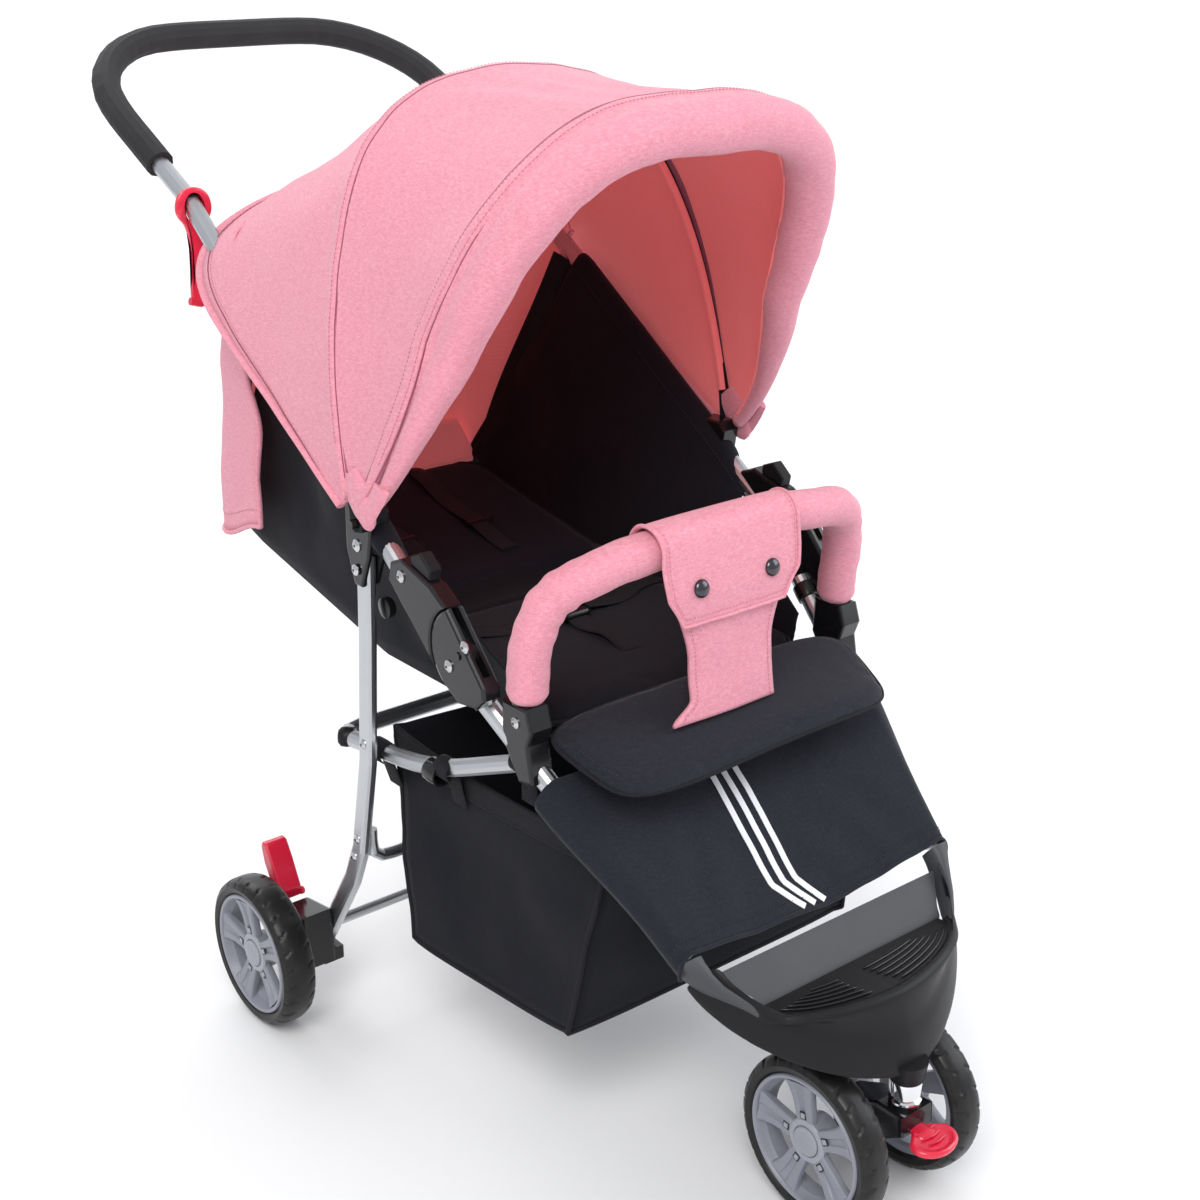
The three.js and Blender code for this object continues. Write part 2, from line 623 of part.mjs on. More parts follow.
function basket() {
  const level = (t) => [
    { x: lerp(186, 165, t), y: lerp(-394, -428, t), z: lerp(138, 342, t) },
    { x: lerp(196, 184, t), y: lerp(-142, -102, t), z: lerp(124, 350, t) },
  ];
  const ring = (t, inset, lift = 0) => {
    const [front, rear] = level(t);
    return basketRing({ ...front, z: front.z + lift }, { ...rear, z: rear.z + lift }, inset);
  };
  add('basket', ringSolid([ring(0, 14, 0), ring(0.05, 2), ring(0.5, 0), ring(1, 0), ring(1, FABRIC),
    ring(0.5, FABRIC), ring(0.06, FABRIC + 2, 0), ring(0, 16, FABRIC)], MATERIAL.black_fabric));
}

// ---- apron between the seat front and the footrest ----
function apron() {
  const rows = 7;
  const steepness = Math.hypot(1, LOWER_RAIL.dz);
  const surface = (offset) => {
    const grid = [];
    for (let i = 0; i <= rows; i++) {
      const y = lerp(-392, -523, i / rows);
      const rail = railPoint(LOWER_RAIL, y);
      const radius = 12.5 + offset;
      const row = [];
      for (let j = -10; j <= 10; j++) {
        const wrap = Math.max(0, Math.abs(j) - 5) / 5;
        const across = Math.min(1, Math.abs(j) / 5);
        const turn = (wrap * 100 * Math.PI) / 180;
        const sag = 12 * Math.pow(Math.cos((across * Math.PI) / 2), 1.5);
        const x = Math.sign(j) * (across * rail.x + radius * Math.sin(turn));
        row.push(vec(x, y, rail.z + radius * steepness * Math.cos(turn) - sag));
      }
      grid.push(row);
    }
    return grid;
  };
  add('apron', gridSolid(surface(FABRIC), surface(0), MATERIAL.grey_fabric));
}

// ---- canopy ----
// Its panels are turned about the canopy pivots, so that they slide past each other as it folds back.
// turn runs from 0 at the left pivot to PI at the right one, and power makes the section more boxy.
function canopyPoint(radius, halfWidth, power, turn, degrees) {
  const [c, s] = [Math.cos(turn), Math.sin(turn)];
  const reach = Math.pow(Math.pow(Math.abs(c), power) + Math.pow(Math.abs(s), power), -1 / power);
  const r = radius * s * reach;
  const a = (degrees * Math.PI) / 180;
  return vec(halfWidth * c * reach, CANOPY_PIVOT.y + r * Math.cos(a), CANOPY_PIVOT.z + r * Math.sin(a));
}

// A panel of cloth between two bows: section gives its shape part of the way, k, from one to the other.
function canopyShell(section, rows, material) {
  const columns = 24;
  const low = 0.035 * Math.PI;
  const surface = (offset) => {
    const grid = [];
    for (let i = 0; i <= rows; i++) {
      const row = [];
      for (let j = 0; j <= columns; j++) {
        const turn = lerp(low, Math.PI - low, j / columns);
        const { radius, x, power, angle } = section(i / rows, turn);
        row.push(canopyPoint(radius + offset, x + offset, power, turn, angle));
      }
      grid.push(row);
    }
    return grid;
  };
  return gridSolid(surface(FABRIC), surface(0), material);
}

function canopy() {
  // The rear panel is round where the middle bow slides over it and boxy at its hem.
  const rear = (k, turn) => {
    const hem = 37 + 7 * Math.pow(Math.sin(turn), 4);
    const power = 2.6 + 5.4 * Math.pow(1 - k, 4.5);
    return { radius: lerp(379, 388, k), x: 232.2, power, angle: lerp(hem, 76.5, k) };
  };
  add('canopy_rear_panel', canopyShell(rear, 7, MATERIAL.pink));
  const middle = (k, turn) => ({
    radius: lerp(403, 430, k) - 24 * Math.sin(Math.PI * k),
    x: 242 - 6 * k - 8 * k * narrowing(turn),
    power: lerp(2.6, 3.2, k),
    angle: lerp(80.5, 114.6, k),
  });
  add('canopy_middle_panel', canopyShell(middle, 6, MATERIAL.pink));

  const bowPoints = [];
  for (let i = 0; i <= 18; i++) {
    bowPoints.push(canopyPoint(397, 239.5, 2.6, lerp(0.03, 0.97, i / 18) * Math.PI, 78.5));
  }
  const bow = sweep(new THREE.CatmullRomCurve3(bowPoints), 3, 40, MATERIAL.plastic, 0, 4);
  add('canopy_middle_bow', withEyes(bow, 236, 239.2, 78.5, 78));
  add('canopy_visor', withEyes(visor(), 239.6, 243.2, VISOR_ANGLE, 100));
}

// The front of the canopy is narrower than its bows, except where it comes down to the pivots.
function narrowing(turn) {
  return Math.min(1, Math.pow(Math.sin(turn) / 0.45, 2));
}

// The visor is a padded roll round the front bow, thick over the top and thin at its ends.
function visor() {
  const rings = [];
  const steps = 30;
  for (let i = 0; i <= steps; i++) {
    const turn = lerp(0.03, 0.97, i / steps) * Math.PI;
    const swell = Math.pow(Math.sin(turn), 0.5);
    const depth = lerp(8, 45, swell) / 2;
    const ring = [];
    for (let k = 0; k < 10; k++) {
      const a = (k / 10) * Math.PI * 2;
      const inward = depth - depth * Math.cos(a);
      const degrees = VISOR_ANGLE + lerp(2.4, 3.2, swell) * Math.sin(a);
      ring.push(canopyPoint(447 - inward, 243.5 - 14 * narrowing(turn) - inward, 3.2, turn, degrees));
    }
    rings.push(ring);
  }
  return ringSolid(rings, MATERIAL.pink);
}

// Flat eyes that carry a bow on the canopy pins, one on each side.
function withEyes(mesh, x0, x1, degrees, reach) {
  const a = (degrees * Math.PI) / 180;
  const at = (along, across) => [
    CANOPY_PIVOT.y + along * Math.cos(a) - across * Math.sin(a),
    CANOPY_PIVOT.z + along * Math.sin(a) + across * Math.cos(a),
  ];
  const outline = [at(reach, 4), at(0, 11), at(-9, 7), at(-9, -7), at(0, -11), at(reach, -4)];
  const eyes = SIDES.map(([, side]) => sidePlate(outline, side * x0, side * x1, mesh.material));
  const hole = pin(-260, 260, CANOPY_PIVOT.y, CANOPY_PIVOT.z, 5 + GAP, mesh.material, 16);
  return cut(join(mesh, ...eyes), hole);
}

// The curtain hangs behind the seat, wrapped round its end.
function rearCurtain() {
  const columns = 14;
  const rows = 4;
  const surface = (out) => {
    const grid = [];
    for (let i = 0; i <= rows; i++) {
      const down = i / rows;
      const rear = lerp(184, 252, down);
      const row = [];
      for (let j = 0; j <= columns; j++) {
        const u = -1 + (2 * j) / columns;
        const turn = Math.min(1, Math.abs(u) / 0.72);
        const side = Math.max(0, Math.abs(u) - 0.72) / 0.28;
        const outward = out * Math.min(1, side * 2);
        const x = Math.sign(u) * (turn * 150 + 36 * Math.min(1, side * 2.2) + outward);
        const y = rear - 14 * Math.pow(turn, 3) - lerp(60, 112, down) * side * side + out - outward;
        row.push(vec(x, y, lerp(832 - 75 * side, 500, down)));
      }
      grid.push(row);
    }
    return grid;
  };
  add('rear_curtain', gridSolid(surface(FABRIC), surface(0), MATERIAL.pink));
}

// ---- bumper bar ----
function bumper() {
  const { x, y, radius, top } = BUMPER;
  const half = [[x, y, 476], [x, y - 8, 545], [x - 34, y - 36, top - 6]];
  const line = [
    ...half.map(([px, py, pz]) => vec(px, py, pz)),
    vec(0, y - 42, top + 6),
    ...half.reverse().map(([px, py, pz]) => vec(-px, py, pz)),
  ];
  const path = bentPath(line, 30);
  const bar = sweep(path, radius, 44, MATERIAL.pink);
  const plugs = SIDES.map(([, side]) => rod(vec(side * x, y, 442), vec(side * x, y, 480), 9, MATERIAL.pink));
  add('bumper_bar', join(bar, ...plugs));

  for (const [name, side] of SIDES) {
    const block = sidePlate([[-373, 400], [-352, 396], [-328, 434], [-329, 472], [-365, 472], [-372, 452],
      [-366, 436]], side * 186, side * 212, MATERIAL.plastic, 3);
    const bore = rod(railPoint(LOWER_RAIL, -420, side), railPoint(LOWER_RAIL, -290, side), RAIL_RADIUS + GAP,
      MATERIAL.plastic);
    const socket = rod(vec(side * x, y, 441), vec(side * x, y, 490), 9 + GAP, MATERIAL.plastic);
    add(`bumper_mount_${name}`, cut(block, bore, socket));
  }

  // The crotch strap wraps round the bar and runs down to the seat front.
  const rows = [[62, -5, 20], [66, -21, 16], [66, -21, -8], [52, -23, -60], [46, -26, -110], [44, -30, -172]];
  const surface = (lift) => rows.map(([halfWidth, dy, dz], i) => {
    const row = [];
    for (let j = 0; j <= 4; j++) {
      const u = -1 + j / 2;
      const forward = lift * (i ? 1 : 0.2);
      row.push(vec(u * halfWidth, y - 42 + dy - forward, top + 4 + dz + (i ? 0 : lift)));
    }
    return row;
  });
  add('bumper_strap', gridSolid(surface(FABRIC), surface(0), MATERIAL.pink));
}

// ---- travel hook that keeps the folded frame shut ----
function foldHook() {
  const ring = railPoint(UPPER_RAIL, 206, -1);
  const shape = new THREE.Shape();
  shape.moveTo(-14, -12);
  shape.quadraticCurveTo(-5, -40, -6, -62);
  shape.quadraticCurveTo(-9, -82, -9, -90);
  shape.quadraticCurveTo(0, -100, 9, -90);
  shape.quadraticCurveTo(9, -82, 6, -62);
  shape.quadraticCurveTo(5, -40, 14, -12);
  shape.absarc(0, 0, 20, -0.6, Math.PI + 0.6, false);
  shape.holes.push(new THREE.Path().absellipse(0, 0, 12, 16, 0, Math.PI * 2, true));
  const geometry = new THREE.ExtrudeGeometry(shape, {
    depth: 7, bevelEnabled: false, curveSegments: 8,
  });
  const hook = new THREE.Mesh(geometry, MATERIAL.red);
  hook.rotation.x = Math.PI / 2;
  hook.position.set(ring.x, ring.y + 3.5, ring.z);
  add('fold_hook', hook);
}

chassis();
handle();
rearLegs();
caster();
footrest();
seatFrame();
backrest();
harness();
seatSides();
basket();
apron();
canopy();
rearCurtain();
bumper();
foldHook();

export default stroller;
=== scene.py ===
import json
import math

import bmesh
import bpy
import numpy as np
from mathutils import Matrix, Vector, noise


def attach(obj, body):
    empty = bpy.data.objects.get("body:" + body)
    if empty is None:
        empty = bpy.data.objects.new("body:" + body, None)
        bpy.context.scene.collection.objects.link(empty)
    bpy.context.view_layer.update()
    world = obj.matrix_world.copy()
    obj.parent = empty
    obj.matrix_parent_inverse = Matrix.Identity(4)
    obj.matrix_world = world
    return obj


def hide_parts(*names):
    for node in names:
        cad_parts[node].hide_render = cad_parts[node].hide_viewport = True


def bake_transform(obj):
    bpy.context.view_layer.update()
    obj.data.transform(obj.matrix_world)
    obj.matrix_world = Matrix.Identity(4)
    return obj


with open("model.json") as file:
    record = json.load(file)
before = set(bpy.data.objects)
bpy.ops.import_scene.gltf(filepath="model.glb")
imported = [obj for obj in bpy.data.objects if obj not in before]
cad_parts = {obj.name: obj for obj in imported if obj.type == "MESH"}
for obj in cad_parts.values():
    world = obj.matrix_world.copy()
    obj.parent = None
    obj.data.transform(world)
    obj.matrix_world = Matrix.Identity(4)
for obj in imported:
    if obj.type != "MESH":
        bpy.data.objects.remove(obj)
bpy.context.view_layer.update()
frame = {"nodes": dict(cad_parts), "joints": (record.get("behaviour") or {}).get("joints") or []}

NODES = frame["nodes"]
JOINTS = {j["name"]: j for j in frame["joints"]}
MM = 0.001
AXLE_Y = JOINTS["rear_wheel_spin_left"]["pos_m"][1]


def at(x, y, z):
    """A point given in millimetres from the ground under the rear axle, in the row frame."""
    return (x * MM, y * MM + AXLE_Y, z * MM)


# ---------------------------------------------------------------- materials
class Nodes:
    """Short calls for building one material's node tree."""

    def __init__(self, name, base, roughness, metallic=0.0, **sockets):
        self.material = bpy.data.materials.new(name)
        self.material.use_nodes = True
        self.tree = self.material.node_tree
        self.shader = self.tree.nodes["Principled BSDF"]
        self.set("Base Color", (*base, 1))
        self.set("Roughness", roughness)
        self.set("Metallic", metallic)
        for key, value in sockets.items():
            self.set(key.replace("_", " "), value)
        self.coords = self.new("ShaderNodeTexCoord").outputs["Object"]
        self.height = None

    def set(self, socket, value):
        self.shader.inputs[socket].default_value = value

    def new(self, kind, **settings):
        node = self.tree.nodes.new(kind)
        for key, value in settings.items():
            setattr(node, key, value)
        return node

    def link(self, source, target):
        self.tree.links.new(source, target)

    def put(self, socket, value):
        if hasattr(value, "links"):
            self.link(value, socket)
        else:
            socket.default_value = value

    def math(self, operation, a, b=0.0, clamp=False):
        node = self.new("ShaderNodeMath", operation=operation, use_clamp=clamp)
        self.put(node.inputs[0], a)
        self.put(node.inputs[1], b)
        return node.outputs[0]

    def noise(self, scale, detail=3.0, roughness=0.5, stretch=None, distortion=0.0):
        vector = self.coords
        if stretch:
            mapping = self.new("ShaderNodeMapping")
            mapping.inputs["Scale"].default_value = stretch
            self.link(vector, mapping.inputs["Vector"])
            vector = mapping.outputs[0]
        node = self.new("ShaderNodeTexNoise")
        self.link(vector, node.inputs["Vector"])
        node.inputs["Scale"].default_value = scale
        node.inputs["Detail"].default_value = detail
        node.inputs["Roughness"].default_value = roughness
        node.inputs["Distortion"].default_value = distortion
        return node.outputs["Fac"]

    def voronoi(self, scale, feature="F1"):
        node = self.new("ShaderNodeTexVoronoi", feature=feature)
        self.link(self.coords, node.inputs["Vector"])
        node.inputs["Scale"].default_value = scale
        return node.outputs["Distance"]

    def ramp(self, fac, stops):
        node = self.new("ShaderNodeValToRGB")
        self.link(fac, node.inputs["Fac"])
        ramp = node.color_ramp
        while len(ramp.elements) < len(stops):
            ramp.elements.new(0.5)
        for element, (position, colour) in zip(ramp.elements, stops):
            element.position = position
            element.color = (*colour, 1) if hasattr(colour, "__len__") else (colour, colour, colour, 1)
        return node.outputs["Color"]

    def mix(self, fac, a, b, blend="MIX"):
        node = self.new("ShaderNodeMix", data_type="RGBA", blend_type=blend)
        self.put(node.inputs["Factor"], fac)
        for socket, value in ((node.inputs[6], a), (node.inputs[7], b)):
            self.put(socket, (*value, 1) if isinstance(value, tuple) and len(value) == 3 else value)
        return node.outputs[2]

    def colour(self, value):
        self.link(value, self.shader.inputs["Base Color"])

    def rough(self, fac, low, high):
        node = self.new("ShaderNodeMapRange")
        self.link(fac, node.inputs["Value"])
        node.inputs["To Min"].default_value = low
        node.inputs["To Max"].default_value = high
        self.link(node.outputs[0], self.shader.inputs["Roughness"])

    def bump(self, height, distance, strength=1.0):
        node = self.new("ShaderNodeBump")
        node.inputs["Strength"].default_value = strength
        node.inputs["Distance"].default_value = distance
        self.put(node.inputs["Height"], height)
        if self.height is not None:
            self.link(self.height, node.inputs["Normal"])
        self.height = node.outputs["Normal"]
        self.link(self.height, self.shader.inputs["Normal"])

    def edges(self, low=0.52, high=0.6):
        """White where the surface is a convex edge."""
        point = self.new("ShaderNodeNewGeometry").outputs["Pointiness"]
        return self.ramp(point, [(low, 0.0), (high, 1.0)])

    def weave(self, pitch, depth, strength=0.7):
        """Over-and-under threads, seen along whichever axis the surface faces."""
        split = self.new("ShaderNodeSeparateXYZ")
        self.link(self.coords, split.inputs[0])
        facing = self.new("ShaderNodeSeparateXYZ")
        self.link(self.new("ShaderNodeNewGeometry").outputs["Normal"], facing.inputs[0])
        turns = 2 * math.pi / pitch
        waves = [self.math("SINE", self.math("MULTIPLY", out, turns)) for out in split.outputs]
        total = None
        for k in range(3):
            pair = self.math("MULTIPLY", waves[(k + 1) % 3], waves[(k + 2) % 3])
            weight = self.math("POWER", self.math("ABSOLUTE", facing.outputs[k]), 2.0)
            part = self.math("MULTIPLY", pair, weight)
            total = part if total is None else self.math("ADD", total, part)
        self.bump(total, depth, strength)
        return total


def metal(name, base, low, high):
    n = Nodes(name, base, low, 1.0)
    streaks = n.noise(260, 4, 0.6, stretch=(1, 0.12, 0.12))
    cloud = n.noise(14, 3)
    worn = n.mix(n.math("MULTIPLY", cloud, 0.35), base, tuple(c * 0.8 for c in base))
    n.colour(worn)
    n.rough(n.mix(0.5, streaks, cloud), low, high)
    n.bump(streaks, 0.00006, 0.5)
    return n.material


def plastic(name, base, low, high, grain=0.00004, scuff=0.25, coat=0.0, scale=900, shine=0.5):
    n = Nodes(name, base, low, 0.0, Coat_Weight=coat, Coat_Roughness=0.12, Specular_IOR_Level=shine)
    cloud = n.noise(22, 4, 0.55)
    lighter = tuple(min(1, c * 1.4 + 0.004) for c in base)
    tone = n.mix(cloud, base, tuple(c * 0.85 for c in base))
    n.colour(n.mix(n.math("MULTIPLY", n.edges(), scuff), tone, lighter))
    n.rough(n.mix(0.4, cloud, n.noise(140, 3)), low, high)
    n.bump(n.noise(scale, 2), grain, 0.6)
    return n.material


def fabric(name, base, dark, light, pitch=0.0011, depth=0.00022, flecks=0.55, sheen=0.25, creases=0.0016,
           painted_glow=0.0):
    """Woven cloth: flecked yarn, a soft uneven tone, a weave and shallow creases; an emission can paint the
    light that shines through thin cloth.
    """
    n = Nodes(name, base, 0.92, 0.0, Sheen_Weight=sheen, Sheen_Roughness=0.45, Specular_IOR_Level=0.25)
    yarn = n.noise(1300, 2, 0.7, stretch=(1, 1, 0.45))
    slub = n.noise(420, 3, 0.65, stretch=(0.5, 0.5, 1.4))
    fleck = n.ramp(n.mix(0.5, yarn, slub), [(0.36, dark), (0.5, base), (0.64, light)])
    broad = n.noise(7, 3)
    tone = n.mix(flecks, base, fleck)
    n.colour(n.mix(n.math("MULTIPLY", broad, 0.22), tone, dark))
    n.rough(yarn, 0.82, 0.98)
    # Painted light: an emission in the cloth's own colour stands in for light shining through thin cloth.
    if painted_glow:
        n.set("Emission Color", (*base, 1))
        n.set("Emission Strength", painted_glow)
    n.bump(n.noise(26, 4, 0.55, distortion=0.6), creases, 0.55)
    n.weave(pitch, depth)
    return n.material


def webbing(name, base, light):
    n = Nodes(name, base, 0.7, 0.0, Sheen_Weight=0.02, Specular_IOR_Level=0.15)
    n.colour(n.mix(n.noise(700, 2), base, light))
    n.weave(0.0021, 0.0004, 0.9)
    return n.material


def foam():
    n = Nodes("foam", (0.018, 0.018, 0.02), 0.8, 0.0, Specular_IOR_Level=0.3)
    cells = n.voronoi(1500)
    cloud = n.noise(30, 4)
    n.colour(n.mix(cloud, (0.012, 0.012, 0.013), (0.035, 0.035, 0.038)))
    n.rough(cloud, 0.62, 0.85)
    n.bump(cells, 0.00025, 0.7)
    return n.material


def rubber():
    n = Nodes("tyre_rubber", (0.01, 0.0098, 0.01), 0.4, 0.0, Specular_IOR_Level=0.32)
    dust = n.ramp(n.noise(60, 5, 0.7), [(0.45, 0.0), (0.75, 0.2)])
    n.colour(n.mix(dust, (0.01, 0.0098, 0.01), (0.035, 0.033, 0.032)))
    n.rough(n.noise(90, 3), 0.28, 0.46)
    n.bump(n.noise(1100, 2), 0.00008, 0.6)
    return n.material


MAT = {
    "tube": metal("satin_tube", (0.55, 0.565, 0.58), 0.24, 0.42),
    "chrome": metal("chrome", (0.8, 0.81, 0.82), 0.06, 0.16),
    "gloss": plastic("gloss_black", (0.007, 0.007, 0.008), 0.14, 0.26, coat=0.12, scuff=0.1, shine=0.4),
    "satin": plastic("satin_black", (0.009, 0.009, 0.0105), 0.36, 0.5, grain=0.00005, scale=1600, scuff=0.1,
                     shine=0.22),
    "foam": foam(),
    "rim": plastic("wheel_grey", (0.235, 0.243, 0.285), 0.32, 0.48, scuff=0.4),
    "cap": plastic("cap_grey", (0.285, 0.293, 0.335), 0.25, 0.4, scuff=0.4),
    "tyre": rubber(),
    "red": plastic("red_plastic", (0.68, 0.012, 0.045), 0.22, 0.36, coat=0.35, scuff=0.3),
    "grey_panel": plastic("grey_panel", (0.055, 0.058, 0.064), 0.42, 0.56, grain=0.00008, scale=1300,
                          scuff=0.3, shine=0.35),
    "pink": fabric("heather_pink", (0.78, 0.31, 0.385), (0.6, 0.19, 0.26), (0.9, 0.5, 0.565)),
    # Coral lining: its own coral, raised brighter and given an emission; the extra brightness and the glow
    # are painted light standing in for light that shines through the cover.
    "coral": fabric("coral_lining", (0.86, 0.2, 0.205), (0.74, 0.14, 0.15), (0.9, 0.28, 0.285), flecks=0.35,
                    painted_glow=0.2),
    # The mauve tape's emission is painted light standing in for light shining through the cloth.
    "tape": fabric("mauve_tape", (0.34, 0.09, 0.15), (0.26, 0.06, 0.1), (0.42, 0.15, 0.21), flecks=0.3,
                   painted_glow=0.06),
    "seam": fabric("seam_shadow", (0.3, 0.07, 0.11), (0.22, 0.05, 0.08), (0.38, 0.11, 0.16), flecks=0.3),
    "black": fabric("black_cloth", (0.0045, 0.005, 0.009), (0.003, 0.003, 0.006), (0.01, 0.011, 0.018),
                    sheen=0.05, pitch=0.0009, depth=0.0001),
    "navy": fabric("navy_cloth", (0.006, 0.007, 0.015), (0.004, 0.0045, 0.01), (0.014, 0.016, 0.028),
                   sheen=0.05, pitch=0.0009, depth=0.0001),
    "apron": fabric("charcoal_cloth", (0.0125, 0.0145, 0.022), (0.008, 0.009, 0.014), (0.025, 0.028, 0.04),
                    sheen=0.1, pitch=0.0008, depth=0.00008),
    "web": webbing("black_webbing", (0.006, 0.006, 0.008), (0.02, 0.02, 0.025)),
    "rib": webbing("grey_webbing", (0.012, 0.013, 0.018), (0.03, 0.032, 0.04)),
    "thread": plastic("thread", (0.62, 0.22, 0.28), 0.6, 0.8),
    "dark_thread": plastic("dark_thread", (0.02, 0.021, 0.026), 0.6, 0.8),
    "stripe": plastic("pale_stripe", (0.78, 0.79, 0.82), 0.4, 0.6),
    "snap": metal("dark_snap", (0.09, 0.085, 0.095), 0.12, 0.25),
    "rivet": metal("rivet", (0.6, 0.6, 0.61), 0.16, 0.3),
}


# ---------------------------------------------------------------- mesh helpers
def build(name, verts, faces, mats, body=None, slot=None, replaces=(), smooth=True, index=None):
    """A mesh piece from points in row-frame metres."""
    mesh = bpy.data.meshes.new(name)
    mesh.from_pydata([tuple(v) for v in verts], [], [tuple(f) for f in faces])
    for m in mats if isinstance(mats, (list, tuple)) else [mats]:
        mesh.materials.append(MAT[m])
    if index is not None:
        mesh.polygons.foreach_set("material_index", index)
    mesh.polygons.foreach_set("use_smooth", [smooth] * len(mesh.polygons))
    mesh.update()
    obj = bpy.data.objects.new(name, mesh)
    bpy.context.scene.collection.objects.link(obj)
    if body:
        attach(obj, body)
    if replaces:
        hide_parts(*replaces)
    return obj


def quads(rings, count, start=0, closed=True):
    """Faces between rings of count points each, the first point being number start."""
    faces = []
    for i in range(rings - 1):
        for k in range(count if closed else count - 1):
            a, b = start + i * count + k, start + i * count + (k + 1) % count
            faces.append((a, b, b + count, a + count))
    return faces


def ends(rings, count, start=0):
    """The two faces that close a stack of rings."""
    last = start + (rings - 1) * count
    return [tuple(reversed(range(start, start + count))), tuple(range(last, last + count))]


def solid(name, verts, faces, mat, body, slot, replaces=(), angle=40, index=None):
    """A piece from points in millimetres, with its faces turned outward."""
    obj = build(name, to_row(verts), faces, mat, body, slot, replaces, index=index)
    fix_normals(obj)
    return sharpen(obj, angle)


def sharpen(obj, degrees=35):
    obj.data.set_sharp_from_angle(angle=math.radians(degrees))
    return obj


def bevel(obj, width, segments=2, degrees=35):
    m = obj.modifiers.new("bevel", "BEVEL")
    m.width = width
    m.segments = segments
    m.limit_method = "ANGLE"
    m.angle_limit = math.radians(degrees)
    m.harden_normals = False
    return obj


def subdivide(obj, levels=1):
    m = obj.modifiers.new("smooth", "SUBSURF")
    m.levels = levels
    m.render_levels = levels
    return obj


def lerp(a, b, t):
    return a + (b - a) * t


def smoothstep(t):
    t = min(1.0, max(0.0, t))
    return t * t * (3 - 2 * t)


def along(keys, t):
    """Linear interpolation through (t, value...) rows."""
    keys = [tuple(k) for k in keys]
    if t <= keys[0][0]:
        return np.array(keys[0][1:], float)
    for a, b in zip(keys, keys[1:]):
        if t <= b[0]:
            k = (t - a[0]) / (b[0] - a[0])
            return np.array(a[1:], float) * (1 - k) + np.array(b[1:], float) * k
    return np.array(keys[-1][1:], float)


def spline(points, steps):
    """A smooth line through points (Catmull-Rom), as an array of steps + 1 points evenly spaced."""
    p = np.array(points, float)
    p = np.vstack([2 * p[0] - p[1], p, 2 * p[-1] - p[-2]])
    dense = []
    for i in range(1, len(p) - 2):
        for k in range(12):
            t = k / 12
            a, b, c, d = p[i - 1], p[i], p[i + 1], p[i + 2]
            dense.append(0.5 * (2 * b + (c - a) * t + (2 * a - 5 * b + 4 * c - d) * t * t
                                + (3 * b - a - 3 * c + d) * t ** 3))
    dense.append(p[-2])
    dense = np.array(dense)
    return resample(dense, steps)


def resample(line, steps):
    line = np.array(line, float)
    length = np.concatenate([[0], np.cumsum(np.linalg.norm(np.diff(line, axis=0), axis=1))])
    want = np.linspace(0, length[-1], steps + 1)
    return np.stack([np.interp(want, length, line[:, k]) for k in range(line.shape[1])], axis=1)


def frames(line, up=None):
    """Tangent, side and normal at every point of a line, without twist."""
    line = np.array(line, float)
    tangent = np.gradient(line, axis=0)
    tangent /= np.linalg.norm(tangent, axis=1)[:, None]
    normal = np.array(up if up is not None else (0, 0, 1), float)
    if up is None and abs(tangent[0] @ normal) > 0.9:
        normal = np.array((1.0, 0, 0))
    result = []
    for t in tangent:
        normal = normal - (normal @ t) * t
        normal /= np.linalg.norm(normal)
        result.append((t, np.cross(t, normal), normal.copy()))
    return result


def tube_mesh(line, radii, sides=12, flat=1.0, up=None):
    """Points in millimetres; flat squeezes the section along its normal."""
    line = np.array(line, float)
    radii = np.full(len(line), radii, float) if np.isscalar(radii) else np.array(radii, float)
    verts = []
    for p, r, (_, side, normal) in zip(line, radii, frames(line, up)):
        for k in range(sides):
            a = 2 * math.pi * k / sides
            verts.append(p + r * (math.cos(a) * side + flat * math.sin(a) * normal))
    return np.array(verts), quads(len(line), sides) + ends(len(line), sides)


def to_row(points):
    p = np.array(points, float) * MM
    p[..., 1] += AXLE_Y
    return p


def tube(name, line, radii, mat, body, slot, sides=12, flat=1.0, up=None, replaces=()):
    verts, faces = tube_mesh(line, radii, sides, flat=flat, up=up)
    obj = build(name, to_row(verts), faces, mat, body, slot, replaces)
    return sharpen(obj, 60)


